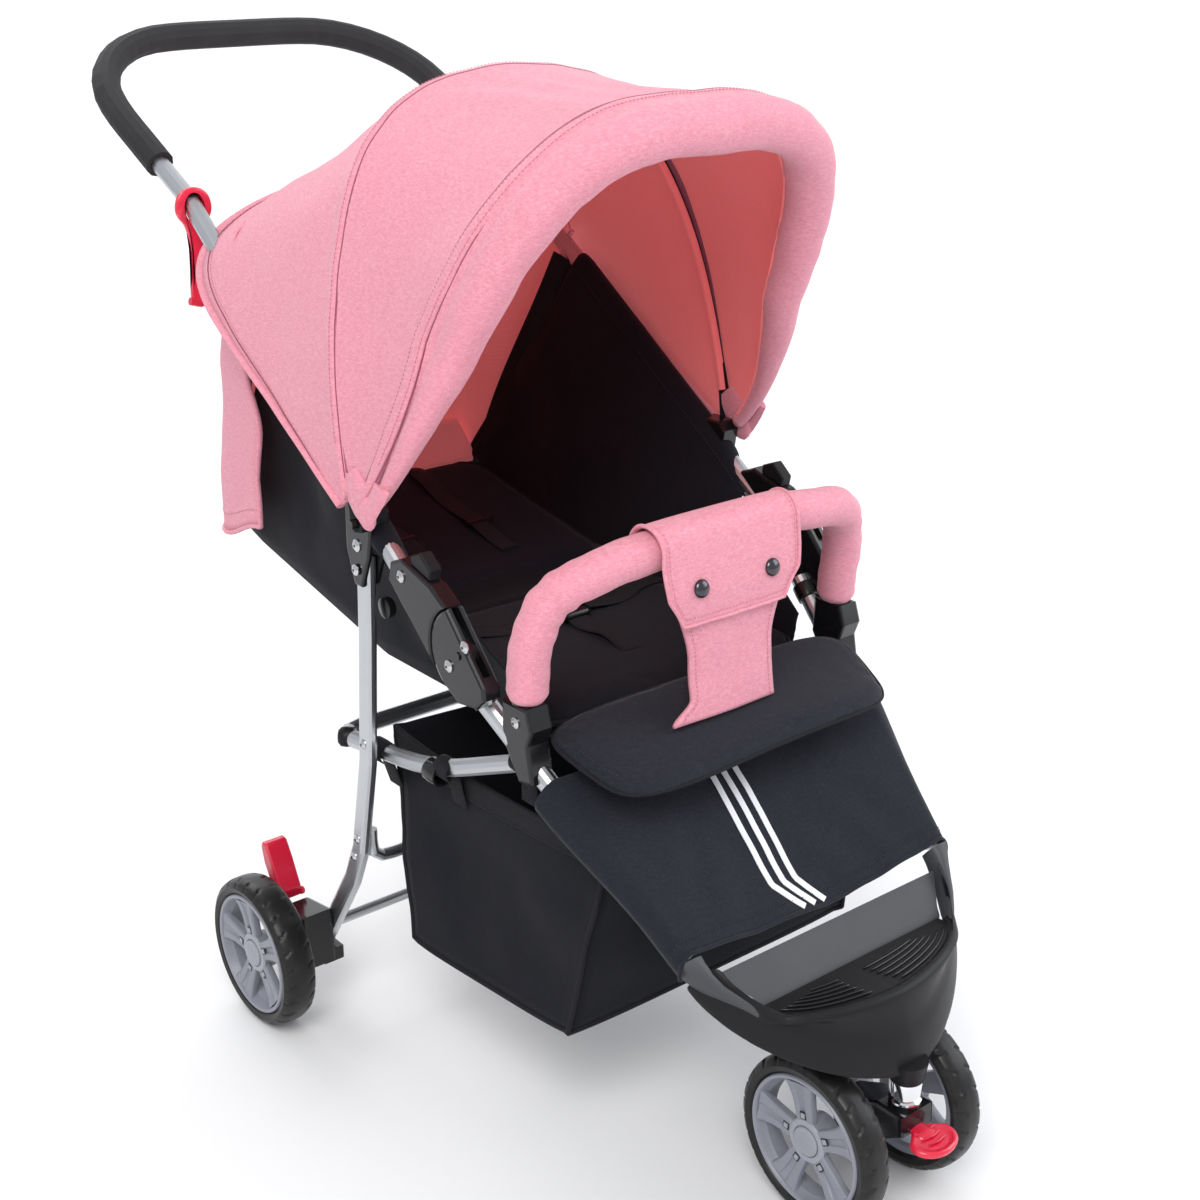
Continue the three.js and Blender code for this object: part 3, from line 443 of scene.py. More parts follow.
def shell(name, grid, thickness, mats, body, slot, replaces=(), ring=False, centre=None):
    """A cloth shell from a grid of points in millimetres: its outer face has mats[0], its inner mats[1].
    It thickens towards centre, or along its own normal."""
    grid = np.array(grid, float)
    rows, cols = grid.shape[:2]
    du = np.gradient(grid, axis=1)
    if ring:
        du[:, 0] = grid[:, 1] - grid[:, -1]
        du[:, -1] = grid[:, 0] - grid[:, -2]
    normal = np.cross(np.gradient(grid, axis=0), du)
    normal /= np.maximum(np.linalg.norm(normal, axis=2), 1e-9)[..., None]
    if centre is not None:
        away = grid - np.array(centre, float)
        if (normal * away).sum() < 0:
            normal = -normal
    inner = grid - normal * thickness
    verts = np.vstack([grid.reshape(-1, 3), inner.reshape(-1, 3)])
    half = rows * cols
    faces, index = [], []
    last = cols if ring else cols - 1
    flip = centre is not None and orientation(grid, normal) < 0
    for i in range(rows - 1):
        for j in range(last):
            k = (j + 1) % cols
            a, b, c, d = i * cols + j, i * cols + k, (i + 1) * cols + k, (i + 1) * cols + j
            faces.append((a, b, c, d) if flip else (a, d, c, b))
            index.append(0)
            faces.append((a + half, d + half, c + half, b + half) if flip
                         else (a + half, b + half, c + half, d + half))
            index.append(min(1, len(mats) - 1))
    rim = len(mats) - 1
    for i in range(rows - 1):
        if not ring:
            a, b = i * cols, (i + 1) * cols
            faces.append((a, b, b + half, a + half))
            a, b = i * cols + cols - 1, (i + 1) * cols + cols - 1
            faces.append((b, a, a + half, b + half))
            index += [rim, rim]
    for j in range(last):
        k = (j + 1) % cols
        faces.append((k, j, j + half, k + half))
        a, b = (rows - 1) * cols + j, (rows - 1) * cols + k
        faces.append((a, b, b + half, a + half))
        index += [rim, rim]
    obj = build(name, to_row(verts), faces, mats, body, slot, replaces, index=index)
    fix_normals(obj)
    return obj


def orientation(grid, normal):
    a = grid[1:, :-1] - grid[:-1, :-1]
    b = grid[:-1, 1:] - grid[:-1, :-1]
    return (np.cross(a, b) * normal[:-1, :-1]).sum()


def fix_normals(obj):
    """Turns every face outward."""
    bm = bmesh.new()
    bm.from_mesh(obj.data)
    bmesh.ops.recalc_face_normals(bm, faces=bm.faces)
    bm.to_mesh(obj.data)
    bm.free()


def declare_cloth(grid):
    """Takes a sheet's grid as an array and does nothing more with it."""
    grid = np.array(grid, float)


def bump3(p, scale, seed=0.0):
    """Smooth noise from -1 to 1 at a point in millimetres."""
    return noise.noise(Vector((p[0] / scale + seed, p[1] / scale - seed, p[2] / scale + 2.7 * seed)))


def stitches(name, line, normals, mat, body, slot, pitch=4.2, length=2.7, radius=0.42):
    """Separate thread dashes along a line that lies on a surface, in millimetres."""
    line = np.array(line, float)
    total = np.linalg.norm(np.diff(line, axis=0), axis=1).sum()
    count = max(2, int(total / pitch))
    pts = resample(line, count)
    if np.ndim(normals) == 2:
        nrm = resample(np.array(normals, float), count)
    else:
        nrm = np.tile(normals, (count + 1, 1))
    verts, faces = [], []
    for i in range(count):
        a, b = pts[i], pts[i + 1]
        d = b - a
        d /= np.linalg.norm(d)
        n = nrm[i] / np.linalg.norm(nrm[i])
        s = np.cross(d, n)
        base = len(verts)
        for along_, r in ((0.0, 0.3), (0.25, 1.0), (0.75, 1.0), (1.0, 0.3)):
            c = a + d * length * along_ + n * radius * 0.35
            for k in range(5):
                w = 2 * math.pi * k / 5
                verts.append(c + radius * r * (math.cos(w) * s + math.sin(w) * n))
        faces += quads(4, 5, base) + ends(4, 5, base)
    return build(name, to_row(verts), faces, mat, body, slot)


def ribbon(name, line, ups, width, thick, mat, body, slot, replaces=(), crown=0.25):
    """Flat webbing along a line: ups gives its face's normal at each key point."""
    line = np.array(line, float)
    ups = np.array(ups, float) if np.ndim(ups) == 2 else np.tile(ups, (len(line), 1))
    tangent = np.gradient(line, axis=0)
    tangent /= np.linalg.norm(tangent, axis=1)[:, None]
    widths = np.full(len(line), width, float) if np.isscalar(width) else np.array(width, float)
    verts = []
    profile = [(-1, 0), (-0.94, 0.5), (-0.5, 0.5 + crown * 0.5), (0, 0.5 + crown), (0.5, 0.5 + crown * 0.5),
               (0.94, 0.5), (1, 0), (0.94, -0.5), (0, -0.5), (-0.94, -0.5)]
    for p, t, u, w in zip(line, tangent, ups, widths):
        u = u - (u @ t) * t
        u /= np.linalg.norm(u)
        s = np.cross(t, u)
        for a, b in profile:
            verts.append(p + s * a * w / 2 + u * b * thick)
    faces = quads(len(line), len(profile)) + ends(len(line), len(profile))
    return solid(name, verts, faces, mat, body, slot, replaces, 50)


def disc(name, centre, axis, profile, mat, body, slot, segments=24):
    """A turned piece: profile is (radius, height) along axis, in millimetres, from centre."""
    axis = np.array(axis, float) / np.linalg.norm(axis)
    helper = np.array((0, 0, 1.0)) if abs(axis[2]) < 0.9 else np.array((1.0, 0, 0))
    side = np.cross(axis, helper)
    side /= np.linalg.norm(side)
    other = np.cross(axis, side)
    centre = np.array(centre, float)
    verts = []
    for r, h in profile:
        for k in range(segments):
            a = 2 * math.pi * k / segments
            verts.append(centre + axis * h + r * (math.cos(a) * side + math.sin(a) * other))
    faces = quads(len(profile), segments) + ends(len(profile), segments)
    return solid(name, verts, faces, mat, body, slot)


SIDES = (("left", 1), ("right", -1))


LOWER_SLOPE, UPPER_SLOPE = 0.806, 0.719
OVER_RAIL = 12.8


def rail_lower(y, side=1):
    """The middle of the front rail, which rises rearwards from the footrest to the fold housing."""
    return np.array((side * (160 + 0.204 * (y + 541)), y, 264 + LOWER_SLOPE * (y + 541)))


def rail_upper(y, side=1):
    """The middle of the push rail, which rises from the fold housing to the handle."""
    return np.array((side * (219.7 - 0.039 * (y + 173)), y, 566 + UPPER_SLOPE * (y + 173)))


# ---------------------------------------------------------------- canopy
PIVOT = np.array((0.0, -142.0, 593.0))
REAR_BOW = 78.5
VISOR_ANGLE = 120.5


def canopy_point(radius, half, t, degrees, power=2.6):
    """A point of a bow's section: t runs from 0 at the left pivot to pi at the right one."""
    c, s = math.cos(t), math.sin(t)
    reach = (abs(c) ** power + abs(s) ** power) ** (-1 / power)
    a = math.radians(degrees)
    r = radius * s * reach
    return np.array((half * c * reach, PIVOT[1] + r * math.cos(a), PIVOT[2] + r * math.sin(a)))


def narrowing(t):
    """0 at the pivots and 1 over most of the canopy's width, for what is slimmer over the top."""
    return min(1.0, (math.sin(t) / 0.45) ** 2)


def hem_point(t):
    """The rear hem: nearly square in section, fuller at its corners and lower at its sides."""
    corner = math.exp(-((math.sin(t) - 0.8) / 0.16) ** 2)
    degrees = lerp(31.8, 43.5, smoothstep((math.sin(t) - 0.66) / 0.3))
    return canopy_point(385 + 6 * corner, 243, t, degrees, 9)


def bow_point(t):
    """The cloth over the middle bow."""
    return canopy_point(402, 245, t, 80, 2.7)


def front_point(t):
    """The seam between the cover and the visor."""
    return canopy_point(436, 243 - 17 * narrowing(t), t, 117 + 12 * (1 - narrowing(t)), 3.2)


# Where the middle bow's sleeve starts, where the bow is, and where the front bow's sleeve starts.
SLEEVE_A, BOW_K, SLEEVE_B = 0.41, 0.46, 0.93


def canopy_surface(t, k, lift=0.0):
    """k runs from 0 at the rear hem, over the middle bow's sleeve, to 1 at the visor's seam."""
    if k <= BOW_K:
        start, end, edge, last = hem_point(t), bow_point(t), SLEEVE_A / BOW_K, k / BOW_K
    else:
        start, end = bow_point(t), front_point(t)
        edge, last = (SLEEVE_B - BOW_K) / (1 - BOW_K), (k - BOW_K) / (1 - BOW_K)
    length = max(1.0, float(np.linalg.norm(end - start)))
    cuff = min(0.22, (15.0 if k <= BOW_K else 20.0) / length)
    crown = math.sin(t)
    if last <= edge:
        s = last / edge * (1 - cuff)
        swell = -(2.0 if k <= BOW_K else 3.0 + 6.0 * crown) * math.sin(math.pi * s) ** 0.9
    else:
        q = (last - edge) / (1 - edge)
        s = 1 - cuff + cuff * q
        swell = 3.6 * math.sin(math.pi * min(1.0, q)) ** 0.6
    p = start * (1 - s) + end * s
    out = p - np.array((0, PIVOT[1], PIVOT[2]))
    size = max(float(np.linalg.norm(out)), 1e-6)
    soft = bump3(p, 90, 3.1) * 3.4 + bump3(p, 38, 8.0) * 1.5
    belly = math.sin(math.pi * s)
    pulled = 1.9 * math.sin(t * 23 + 2.2 * s + 2.5 * bump3(p, 120, 1.0)) * belly * crown ** 2
    gather = 2.6 * math.sin(size / 7.5 + 3 * s) * math.exp(-((size - 110) / 42) ** 2) * belly ** 0.5
    return p + out / size * (swell + lift + (soft + pulled) * min(1.0, crown * 1.6) + gather)


def canopy_grid(cols=120, edge=0.02):
    """Rows from the rear hem to the visor's seam, close together where the cloth turns over a bow."""
    ks = [lerp(0, SLEEVE_A, i / 18) for i in range(18)] + [lerp(SLEEVE_A, BOW_K, i / 6) for i in range(6)]
    ks += [lerp(BOW_K, SLEEVE_B, i / 24) for i in range(24)] + [lerp(SLEEVE_B, 1, i / 7) for i in range(8)]
    return np.array([[canopy_surface(lerp(edge, 1 - edge, j / cols) * math.pi, k) for j in range(cols + 1)]
                     for k in ks])


def make_canopy():
    grid = canopy_grid()
    cover = shell("canopy_cover", grid, 3.0, ("pink", "coral", "pink"), None, "pink_fabric",
                  ("canopy_rear_panel", "canopy_middle_panel"), centre=(0, -60, 640))
    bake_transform(cover)
    declare_cloth(grid)
    centre = np.array((0, PIVOT[1], PIVOT[2]))

    # Felled seams beside the sleeves, drawn as thin dark lines of painted shadow with their stitches, and
    # the tapes that cover the bows inside.
    for label, k, side in (("rear", BOW_K, -1), ("front", SLEEVE_B, 1), ("visor", 1.0, -1)):
        line = np.array([canopy_surface(t, k, -0.2) for t in np.linspace(0.035, 0.965, 150) * math.pi])
        seam = tube(f"canopy_seam_shadow_{label}", line, 0.75, "seam", None, "pink_fabric", 6)
        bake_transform(seam)
        row = np.array([canopy_surface(t, k + side * 0.016, 0.5)
                        for t in np.linspace(0.06, 0.94, 120) * math.pi])
        thread = stitches(f"canopy_thread_{label}", row, row - centre, "thread", None, "pink_fabric")
        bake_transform(thread)
    for label, k, width in (("rear", 0.44, 15), ("front", 0.965, 17)):
        inner = np.array([canopy_surface(t, k, -5.2) for t in np.linspace(0.04, 0.96, 110) * math.pi])
        tape = ribbon(f"canopy_tape_{label}", inner, inner - centre, width, 2.0, "tape", None,
                      "pink_fabric")
        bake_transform(tape)
    sleeve = np.array([canopy_point(392, 236.5, t, REAR_BOW)
                       for t in np.linspace(0.04, 0.96, 90) * math.pi])
    tube("canopy_bow_sleeve", sleeve, 4.4, "coral", "canopy_bow", "pink_fabric", 10)
    hem = np.array([canopy_surface(t, 0.0, -1.0) for t in np.linspace(0.02, 0.98, 160) * math.pi])
    tube("canopy_hem", hem, 5.6, "pink", "push_frame", "pink_fabric", 10, flat=0.6)
    # A thin dark line of painted shadow stands for the groove beside the hem.
    inset = np.array([canopy_surface(t, 0.025, 0.6) for t in np.linspace(0.03, 0.97, 160) * math.pi])
    tube("canopy_hem_groove_shadow", inset, 0.6, "seam", "push_frame", "pink_fabric", 6)
    inset = np.array([canopy_surface(t, 0.034, 0.8) for t in np.linspace(0.03, 0.97, 150) * math.pi])
    stitches("canopy_hem_thread", inset, inset - centre, "thread", "push_frame", "pink_fabric")
    for name, side in SIDES:
        tip = [(side * 240, -136, 640), (side * 240, -152, 620), (side * 239.5, -160, 604),
               (side * 239, -160, 592)]
        widths = [14, 16, 17.5, 18.5, 19, 19.5, 19.5, 19, 18.5, 18, 17, 15.5, 13.5, 10.5, 6]
        tube(f"canopy_tip_{name}", spline(tip, 14), widths, "pink", "push_frame", "pink_fabric", 18,
             flat=0.34, up=(side, 0, 0))


def roll_centre(t):
    size = math.sin(t)
    return canopy_point(424.7, 206.5 + 27 * (1 - narrowing(t)), t,
                        VISOR_ANGLE + 15 * math.exp(-(size / 0.32) ** 2), 3.2)


def roll_radius(t):
    r = 424.7 * math.sin(t)
    return along([(0, 6.5), (60, 8), (105, 11), (170, 17.5), (240, 22.5), (330, 23.5), (430, 23.5)], r)[0]


def on_roll(t, around, lift=0.0):
    """A point on the roll: around is 0 on its outer side and a quarter turn on its front."""
    a, b = roll_centre(max(t - 0.01, 0.0)), roll_centre(min(t + 0.01, math.pi))
    tangent = (b - a) / np.linalg.norm(b - a)
    front = np.array((0, -math.sin(math.radians(VISOR_ANGLE)), math.cos(math.radians(VISOR_ANGLE))))
    front = front - (front @ tangent) * tangent
    front /= np.linalg.norm(front)
    outer = np.cross(tangent, front)
    if outer @ (roll_centre(t) - np.array((0, PIVOT[1], PIVOT[2] - 60))) < 0:
        outer = -outer
    c, s = math.cos(around), math.sin(around)
    r = roll_radius(t) + lift
    return roll_centre(t) + r * (outer * c + front * s * 1.06)


def make_visor():
    """A stuffed roll round the front opening, fat over the top and thin where it meets the pivots."""
    steps, sides = 220, 32
    verts = []
    for i in range(steps + 1):
        t = lerp(0.02, 0.98, i / steps) * math.pi
        full = min(1.0, roll_radius(t) / 23)
        corner = math.exp(-((t - 2.28) / 0.42) ** 2) + 0.25 * math.exp(-((t - 0.9) / 0.5) ** 2)
        for k in range(sides):
            around = 2 * math.pi * k / sides
            p = on_roll(t, around)
            inner = max(0.0, -math.cos(around - 0.5)) ** 1.2
            uneven = 0.6 + 0.4 * math.sin(t * 23)
            pucker = 2.3 * corner * inner * math.sin(t * 62 + 4 * math.sin(t * 9)) * uneven
            soft = bump3(p, 48, 5.0) * 2.0 + bump3(p, 20, 1.0) * 0.8
            out = p - roll_centre(t)
            out /= max(np.linalg.norm(out), 1e-6)
            verts.append(p + out * (soft * full + pucker))
    roll = build("visor_roll", to_row(verts), quads(steps + 1, sides) + ends(steps + 1, sides), "pink",
                 "canopy_front", "pink_fabric", ("canopy_visor",))
    fix_normals(roll)
    ts = np.linspace(0.03, 0.97, 160) * math.pi
    line = np.array([on_roll(t, 3.6, 0.2) for t in ts])
    tube("visor_seam_inner", line, 1.6, "coral", "canopy_front", "pink_fabric", 8)
    for name, side in SIDES:
        ear = [(side * 238, -186, 640), (side * 240, -176, 622), (side * 241, -167, 606),
               (side * 241, -162, 598)]
        widths = [12.5, 12.4, 12.2, 12, 11.6, 11.2, 10.8, 10.2, 9.6, 9, 8, 6.8, 5]
        tube(f"visor_ear_{name}", spline(ear, 12), widths, "pink", "canopy_front", "pink_fabric", 12,
             flat=0.34, up=(side, 0, 0))
    # The cover's front edge is sewn down behind the roll.
    ts = np.linspace(0.03, 0.97, 150) * math.pi
    grid = np.array([[canopy_surface(t, 0.985, -0.8) * (1 - k) + on_roll(t, -0.5, -2.0) * k for t in ts]
                     for k in np.linspace(0, 1, 8)])
    join = shell("visor_join", grid, 2.4, ("pink", "coral", "pink"), "canopy_front", "pink_fabric",
                 centre=(0, -60, 640))
    declare_cloth(grid)


def make_curtain():
    """The curtain hangs from the canopy's rear hem and wraps round the end of the seat."""
    rows, cols = 30, 84
    top = 857
    grid = []
    for i in range(rows + 1):
        d = i / rows
        row = []
        for j in range(cols + 1):
            u = -1 + 2 * j / cols
            side = max(0.0, abs(u) - 0.62) / 0.38
            turn = min(1.0, abs(u) / 0.62)
            back = along([(0, 134), (0.1, 158), (0.42, 226), (0.8, 256), (1, 258)], d)[0]
            forward = lerp(22, 142, smoothstep(d * 1.6)) * side ** 1.35
            bow = 16 * (1 - turn ** 2) * (1 - d) + 4 * (1 - turn ** 2)
            x = math.copysign(turn * 156 + 50 * smoothstep(side * 1.7) + 8 * side * (1 - d), u)
            if abs(u) < 1e-9:
                x = 0.0
            z = lerp(top - 74 * side ** 1.2, 489 + 26 * smoothstep((side - 0.55) / 0.45), d)
            y = back - forward + bow * 0.4 - 10 * turn ** 6
            fold = 2.6 * math.sin(x / 19 + 1.3 * math.sin(z / 90)) * d ** 1.2 * (1 - 0.5 * side)
            p = np.array((x, y + fold * (1 - side), z))
            p[0] += math.copysign(fold * side, u) + bump3(p, 60, 2.0) * 2.0 * side
            p[1] += bump3(p, 55, 4.0) * 2.4 * (1 - side)
            row.append(p)
        grid.append(row)
    grid = np.array(grid)
    curtain = shell("curtain", grid, 2.2, ("pink", "coral", "pink"), "push_frame", "pink_fabric",
                    ("rear_curtain",), centre=(0, 60, 650))
    declare_cloth(grid)
    for label, line in (("bottom", grid[-1]), ("left", grid[:, -1]), ("right", grid[:, 0])):
        tube(f"curtain_binding_{label}", line + np.array((0, -0.6, 0)), 3.1, "pink", "push_frame",
             "pink_fabric", 8, flat=0.8)
    row = grid[-3]
    out = row - np.array((0, 60, row[0][2]))
    stitches("curtain_thread", row + out / np.linalg.norm(out, axis=1)[:, None] * 0.4, out, "thread",
             "push_frame", "pink_fabric")


def make_back_tuck():
    """The lining runs on from inside the curtain to the backrest's top edge."""
    rows = []
    for k in np.linspace(0, 1, 9):
        belly = math.sin(math.pi * k)
        half = lerp(166, 140, k)
        y = lerp(233, 238, k) + 3 * belly
        z = lerp(board_z(232) - 9, 545, k)
        rows.append([(x, y, z - 7 * belly * math.cos(x / 60)) for x in np.linspace(-half, half, 33)])
    grid = np.array(rows)
    tuck = shell("back_tuck", grid, 1.8, ("coral",), None, "pink_fabric", centre=(0, 0, 600))
    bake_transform(tuck)
    declare_cloth(grid)


# ---------------------------------------------------------------- seat
def swell(obj, cap, pressure=4.0, voxel=0.005):
    """Puffs a closed solid up with a short cloth simulation, each point moving no more than cap."""
    scene = bpy.context.scene
    drawn = np.array([v.co for v in obj.data.vertices])
    outline = drawn.min(axis=0), drawn.max(axis=0)
    bpy.context.view_layer.objects.active = obj
    remesh = obj.modifiers.new("voxels", "REMESH")
    remesh.mode = "VOXEL"
    remesh.voxel_size = voxel
    apply_all(obj)
    start = np.array([v.co for v in obj.data.vertices])
    cloth = obj.modifiers.new("cloth", "CLOTH")
    s = cloth.settings
    s.use_pressure = True
    s.uniform_pressure_force = pressure
    s.effector_weights.gravity = 0.0
    s.tension_stiffness = 18
    s.compression_stiffness = 18
    s.shear_stiffness = 8
    s.bending_stiffness = 0.4
    s.quality = 4
    cloth.collision_settings.use_collision = False
    cloth.point_cache.frame_start = 1
    cloth.point_cache.frame_end = 20
    for f in range(1, 21):
        scene.frame_set(f)
    apply_all(obj)
    scene.frame_set(1)
    end = np.array([v.co for v in obj.data.vertices])
    move = end - start
    size = np.linalg.norm(move, axis=1)
    move *= np.minimum(1.0, cap / np.maximum(size, 1e-9))[:, None]
    moved = start + move
    for axis in (0, 1):
        low, high = moved[:, axis].min(), moved[:, axis].max()
        drawn_low, drawn_high = outline[0][axis], outline[1][axis]
        moved[:, axis] = drawn_low + (moved[:, axis] - low) * (drawn_high - drawn_low) / (high - low)
    obj.data.vertices.foreach_set("co", moved.ravel())
    obj.data.update()
    obj.data.polygons.foreach_set("use_smooth", [True] * len(obj.data.polygons))
    return subdivide(obj, 1)


def apply_all(obj):
    deps = bpy.context.evaluated_depsgraph_get()
    deps.update()
    mesh = bpy.data.meshes.new_from_object(obj.evaluated_get(deps), preserve_all_data_layers=False,
                                           depsgraph=deps)
    obj.modifiers.clear()
    old = obj.data
    for slot_ in old.materials:
        if slot_.name not in mesh.materials:
            mesh.materials.append(slot_)
    obj.data = mesh
    bpy.data.meshes.remove(old)


def pillow(name, outline, top, bottom, mats, crown=5.0):
    """A closed crowned pad: outline is a loop of (x, y) in millimetres; top and bottom give z at a point."""
    loop = np.array(outline, float)
    mid = loop.mean(axis=0)
    verts = []
    # From the middle of the top, out over the edge, and back to the middle of the bottom.
    shrink = [0.06, 0.3, 0.55, 0.78, 0.91, 0.975, 1.0]
    order = [(True, s) for s in shrink] + [(False, s) for s in reversed(shrink[:-1])]
    for upper, s in order:
        for q in loop:
            p = mid + (q - mid) * s
            high, low = top(*p), bottom(*p)
            half = (high - low) / 2
            round_ = math.sqrt(max(0.0, 1 - s ** 9))
            z = (high + low) / 2 + (half if upper else -half) * round_
            z += (crown if upper else 0) * (1 - s ** 2)
            verts.append((p[0], p[1], z))
    # The rings run from the top down, so the two end faces are turned over.
    rings, count = len(order), len(loop)
    faces = quads(rings, count) + [face[::-1] for face in ends(rings, count)]
    obj = build(name, to_row(verts), faces, mats)
    fix_normals(obj)
    return obj


def round_rect(x0, x1, y0, y1, r, per=6):
    points = []
    for cx, cy, a0 in ((x1 - r, y1 - r, 0), (x0 + r, y1 - r, 90), (x0 + r, y0 + r, 180),
                       (x1 - r, y0 + r, 270)):
        for k in range(per + 1):
            a = math.radians(a0 + 90 * k / per)
            points.append((cx + r * math.cos(a), cy + r * math.sin(a)))
    dense = []
    for a, b in zip(points, points[1:] + points[:1]):
        steps = max(1, int(math.hypot(b[0] - a[0], b[1] - a[1]) / 14))
        dense += [(lerp(a[0], b[0], k / steps), lerp(a[1], b[1], k / steps)) for k in range(steps)]
    return dense


BOARD_PIVOT = (-48.0, 437.0)
BOARD_SLOPE = 54 / 283


def board_z(y):
    return BOARD_PIVOT[1] + 7 + (y - BOARD_PIVOT[0]) * BOARD_SLOPE


def make_seat():
    pad = pillow("seat_cushion", round_rect(-162, 162, -333, -62, 26),
                 lambda x, y: 438 - 2.2 * math.cos(x / 60), lambda x, y: 418, "black", crown=1.5)
    swell(pad, 0.004)
    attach(pad, "seat_frame")
    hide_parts("seat_pad")
    piping("seat_piping", round_rect(-163, 163, -334, -61, 26), lambda x, y: 430, "web", "seat_frame")

    board = pillow("backrest_pad", round_rect(-160, 160, -38, 232, 30), lambda x, y: board_z(y) - 1,
                   lambda x, y: board_z(y) - 18, "navy", crown=2.0)
    swell(board, 0.0025)
    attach(board, "backrest")
    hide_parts("backrest")
    piping("backrest_piping", round_rect(-161, 161, -39, 233, 30), lambda x, y: board_z(y) - 8, "web",
           "backrest")

    # Cloth that bridges the seat and the backrest.
    grid = np.array([[(x, y, z + 1.2 * math.cos(x / 40)) for x in np.linspace(-158, 158, 25)]
                     for y, z in ((-78, 436.4), (-64, 436.8), (-52, 437.6), (-40, 441.6), (-26, 447.2),
                                  (-14, 450.2))])
    bridge = shell("seat_bridge", grid, 2.0, ("black",), "backrest", "black_fabric", centre=(0, -50, 300))
    declare_cloth(grid)


def piping(name, outline, height, mat, body, radius=1.7):
    line = [(x, y, height(x, y)) for x, y in outline]
    line.append(line[0])
    return tube(name, line, radius, mat, body, "black_fabric", 8)


def make_harness():
    up = (0, -0.19, 0.98)
    for name, side in SIDES:
        line = [(side * (60 - 10 * math.sin(k / 9 * 2.2)), y, board_z(y) + 7.0 + 2.2 * math.sin(k * 1.3))
                for k, y in enumerate(np.linspace(206, 10, 10))]
        ribbon(f"shoulder_belt_{name}", spline(line, 60), up, 24, 1.8, "rib", "backrest", "grey_fabric",
               (f"harness_shoulder_{name}",))
        disc(f"belt_anchor_{name}", (side * 60, 206, board_z(206) + 4.5), up,
             [(11, 0), (11, 3), (8, 4.5)], "satin", "backrest", "black_plastic", 20)
        slide = [(side * 52 + x, 70, board_z(70) + 9) for x in (-17, 17)]
        tube(f"belt_slider_{name}", slide, 5.5, "satin", "backrest", "black_plastic", 10, flat=0.5)
        waist = [(side * 150, -128, 442), (side * 110, -136, 446), (side * 70, -150, 444),
                 (side * 26, -150, 449)]
        ribbon(f"waist_belt_{name}", spline(waist, 40), (0, 0, 1), 25, 1.8, "web", "seat_frame",
               "grey_fabric")
    crotch = [(0, -262, 440.5), (4, -225, 446), (0, -190, 443.5), (0, -168, 449)]
    ribbon("crotch_belt", spline(crotch, 34), (0, 0, 1), 25, 1.8, "web", "seat_frame", "grey_fabric")
    body = pillow("buckle", round_rect(-21, 21, -176, -128, 9), lambda x, y: 455, lambda x, y: 445, "gloss",
                  2.5)
    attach(body, "seat_frame")
    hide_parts("harness_buckle")
    disc("buckle_button", (0, -152, 456.4), (0, 0, 1), [(9, 0), (9, 2.2), (7.5, 3.2), (0.5, 2.6)], "satin",
         "seat_frame", "black_plastic", 24)


def wing_edge(s, side):
    """The wing's upper edge: inside the fold housing, over the rail up to its peak, and down to the rear."""
    if s < 0.28:
        k = s / 0.28
        return np.array((side * lerp(184, 203, k), lerp(-322, -199, k), lerp(458, 538, k))), 0.0
    if s < 0.8:
        k = (s - 0.28) / 0.52
        y = lerp(-199, 78, k)
        return rail_upper(y, side), smoothstep(k * 7)
    k = (s - 0.8) / 0.2
    start = rail_upper(78, side)
    end = np.array((side * 172, 240, 506))
    return start * (1 - k) + end * k, 1 - smoothstep(k * 5)


def wing_bottom(s, side):
    keys = [(0.0, -322, 431, 168), (0.42, -62, 431, 168), (0.62, 60, 455, 166), (0.86, 190, 483, 166),
            (1.0, 240, 494, 162)]
    y, z, x = along(keys, s)
    return np.array((side * x, y, z))


def make_wings():
    """Each side cloth wraps over its rail, hangs down to the seat and turns in under the backrest."""
    cols = 84
    for name, side in SIDES:
        wrap_rows, rows, tuck = 8, 24, 4
        grid = [[] for _ in range(wrap_rows + rows + tuck + 1)]
        for j in range(cols + 1):
            s = j / cols
            edge, wrapped = wing_edge(s, side)
            low = wing_bottom(s, side)
            radius = 11.8
            flat = np.array((-side * 11.0, 0, -4.0))
            for i in range(wrap_rows):
                a = math.radians(lerp(200, 20, i / wrap_rows))
                around = np.array((-side * math.cos(a) * radius, 0, math.sin(a) * radius * 1.22))
                grid[i].append(edge + flat * (1 - wrapped) + around * wrapped)
            inner = edge + np.array((-side * 11.6, 0, 2.0)) * wrapped + flat * (1 - wrapped)
            for i in range(rows + 1):
                d = i / rows
                p = inner * (1 - d) + low * d
                hollow = math.sin(math.pi * d) * math.sin(math.pi * min(1, s * 1.05))
                p[0] -= side * hollow * 9
                drape = math.sin(s * 24 + 1.5 * math.sin(d * 4) + side) * 2.6 * d
                soft = bump3(p, 80, 1.7 * side) * 6.0 + bump3(p, 32, 6.0) * 1.8 + drape
                p[0] += side * soft * math.sin(math.pi * d) ** 0.7
                p[0] = side * max(side * p[0], 161)
                grid[wrap_rows + i].append(p)
            for i in range(1, tuck + 1):
                k = i / tuck
                grid[wrap_rows + rows + i].append(low + np.array((-side * 26 * k, 0, -16 - 8 * k)))
        grid = np.array(grid)
        wing = shell(f"seat_wing_{name}", grid, 2.0, ("black",), "push_frame", "black_fabric",
                     (f"seat_side_{name}",), centre=(0, -60, 560))
        declare_cloth(grid)
        hem = grid[wrap_rows][2:] + np.array((-side * 2.4, 0, 0))
        stitches(f"wing_thread_{name}", hem, (-side, 0, 0.1), "dark_thread", "push_frame", "black_fabric")
        strap_top = rail_upper(96, side) - np.array((side * 12, 0, 4))
        line = spline([strap_top, strap_top + np.array((-side * 6, 30, -60)), (side * 178, 180, 590),
                       (side * 166, 214, 500)], 40)
        strap = ribbon(f"recline_strap_{name}", line, (side, 0.5, 0.1), 28, 1.8, "web", None,
                       "black_fabric")
        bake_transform(strap)


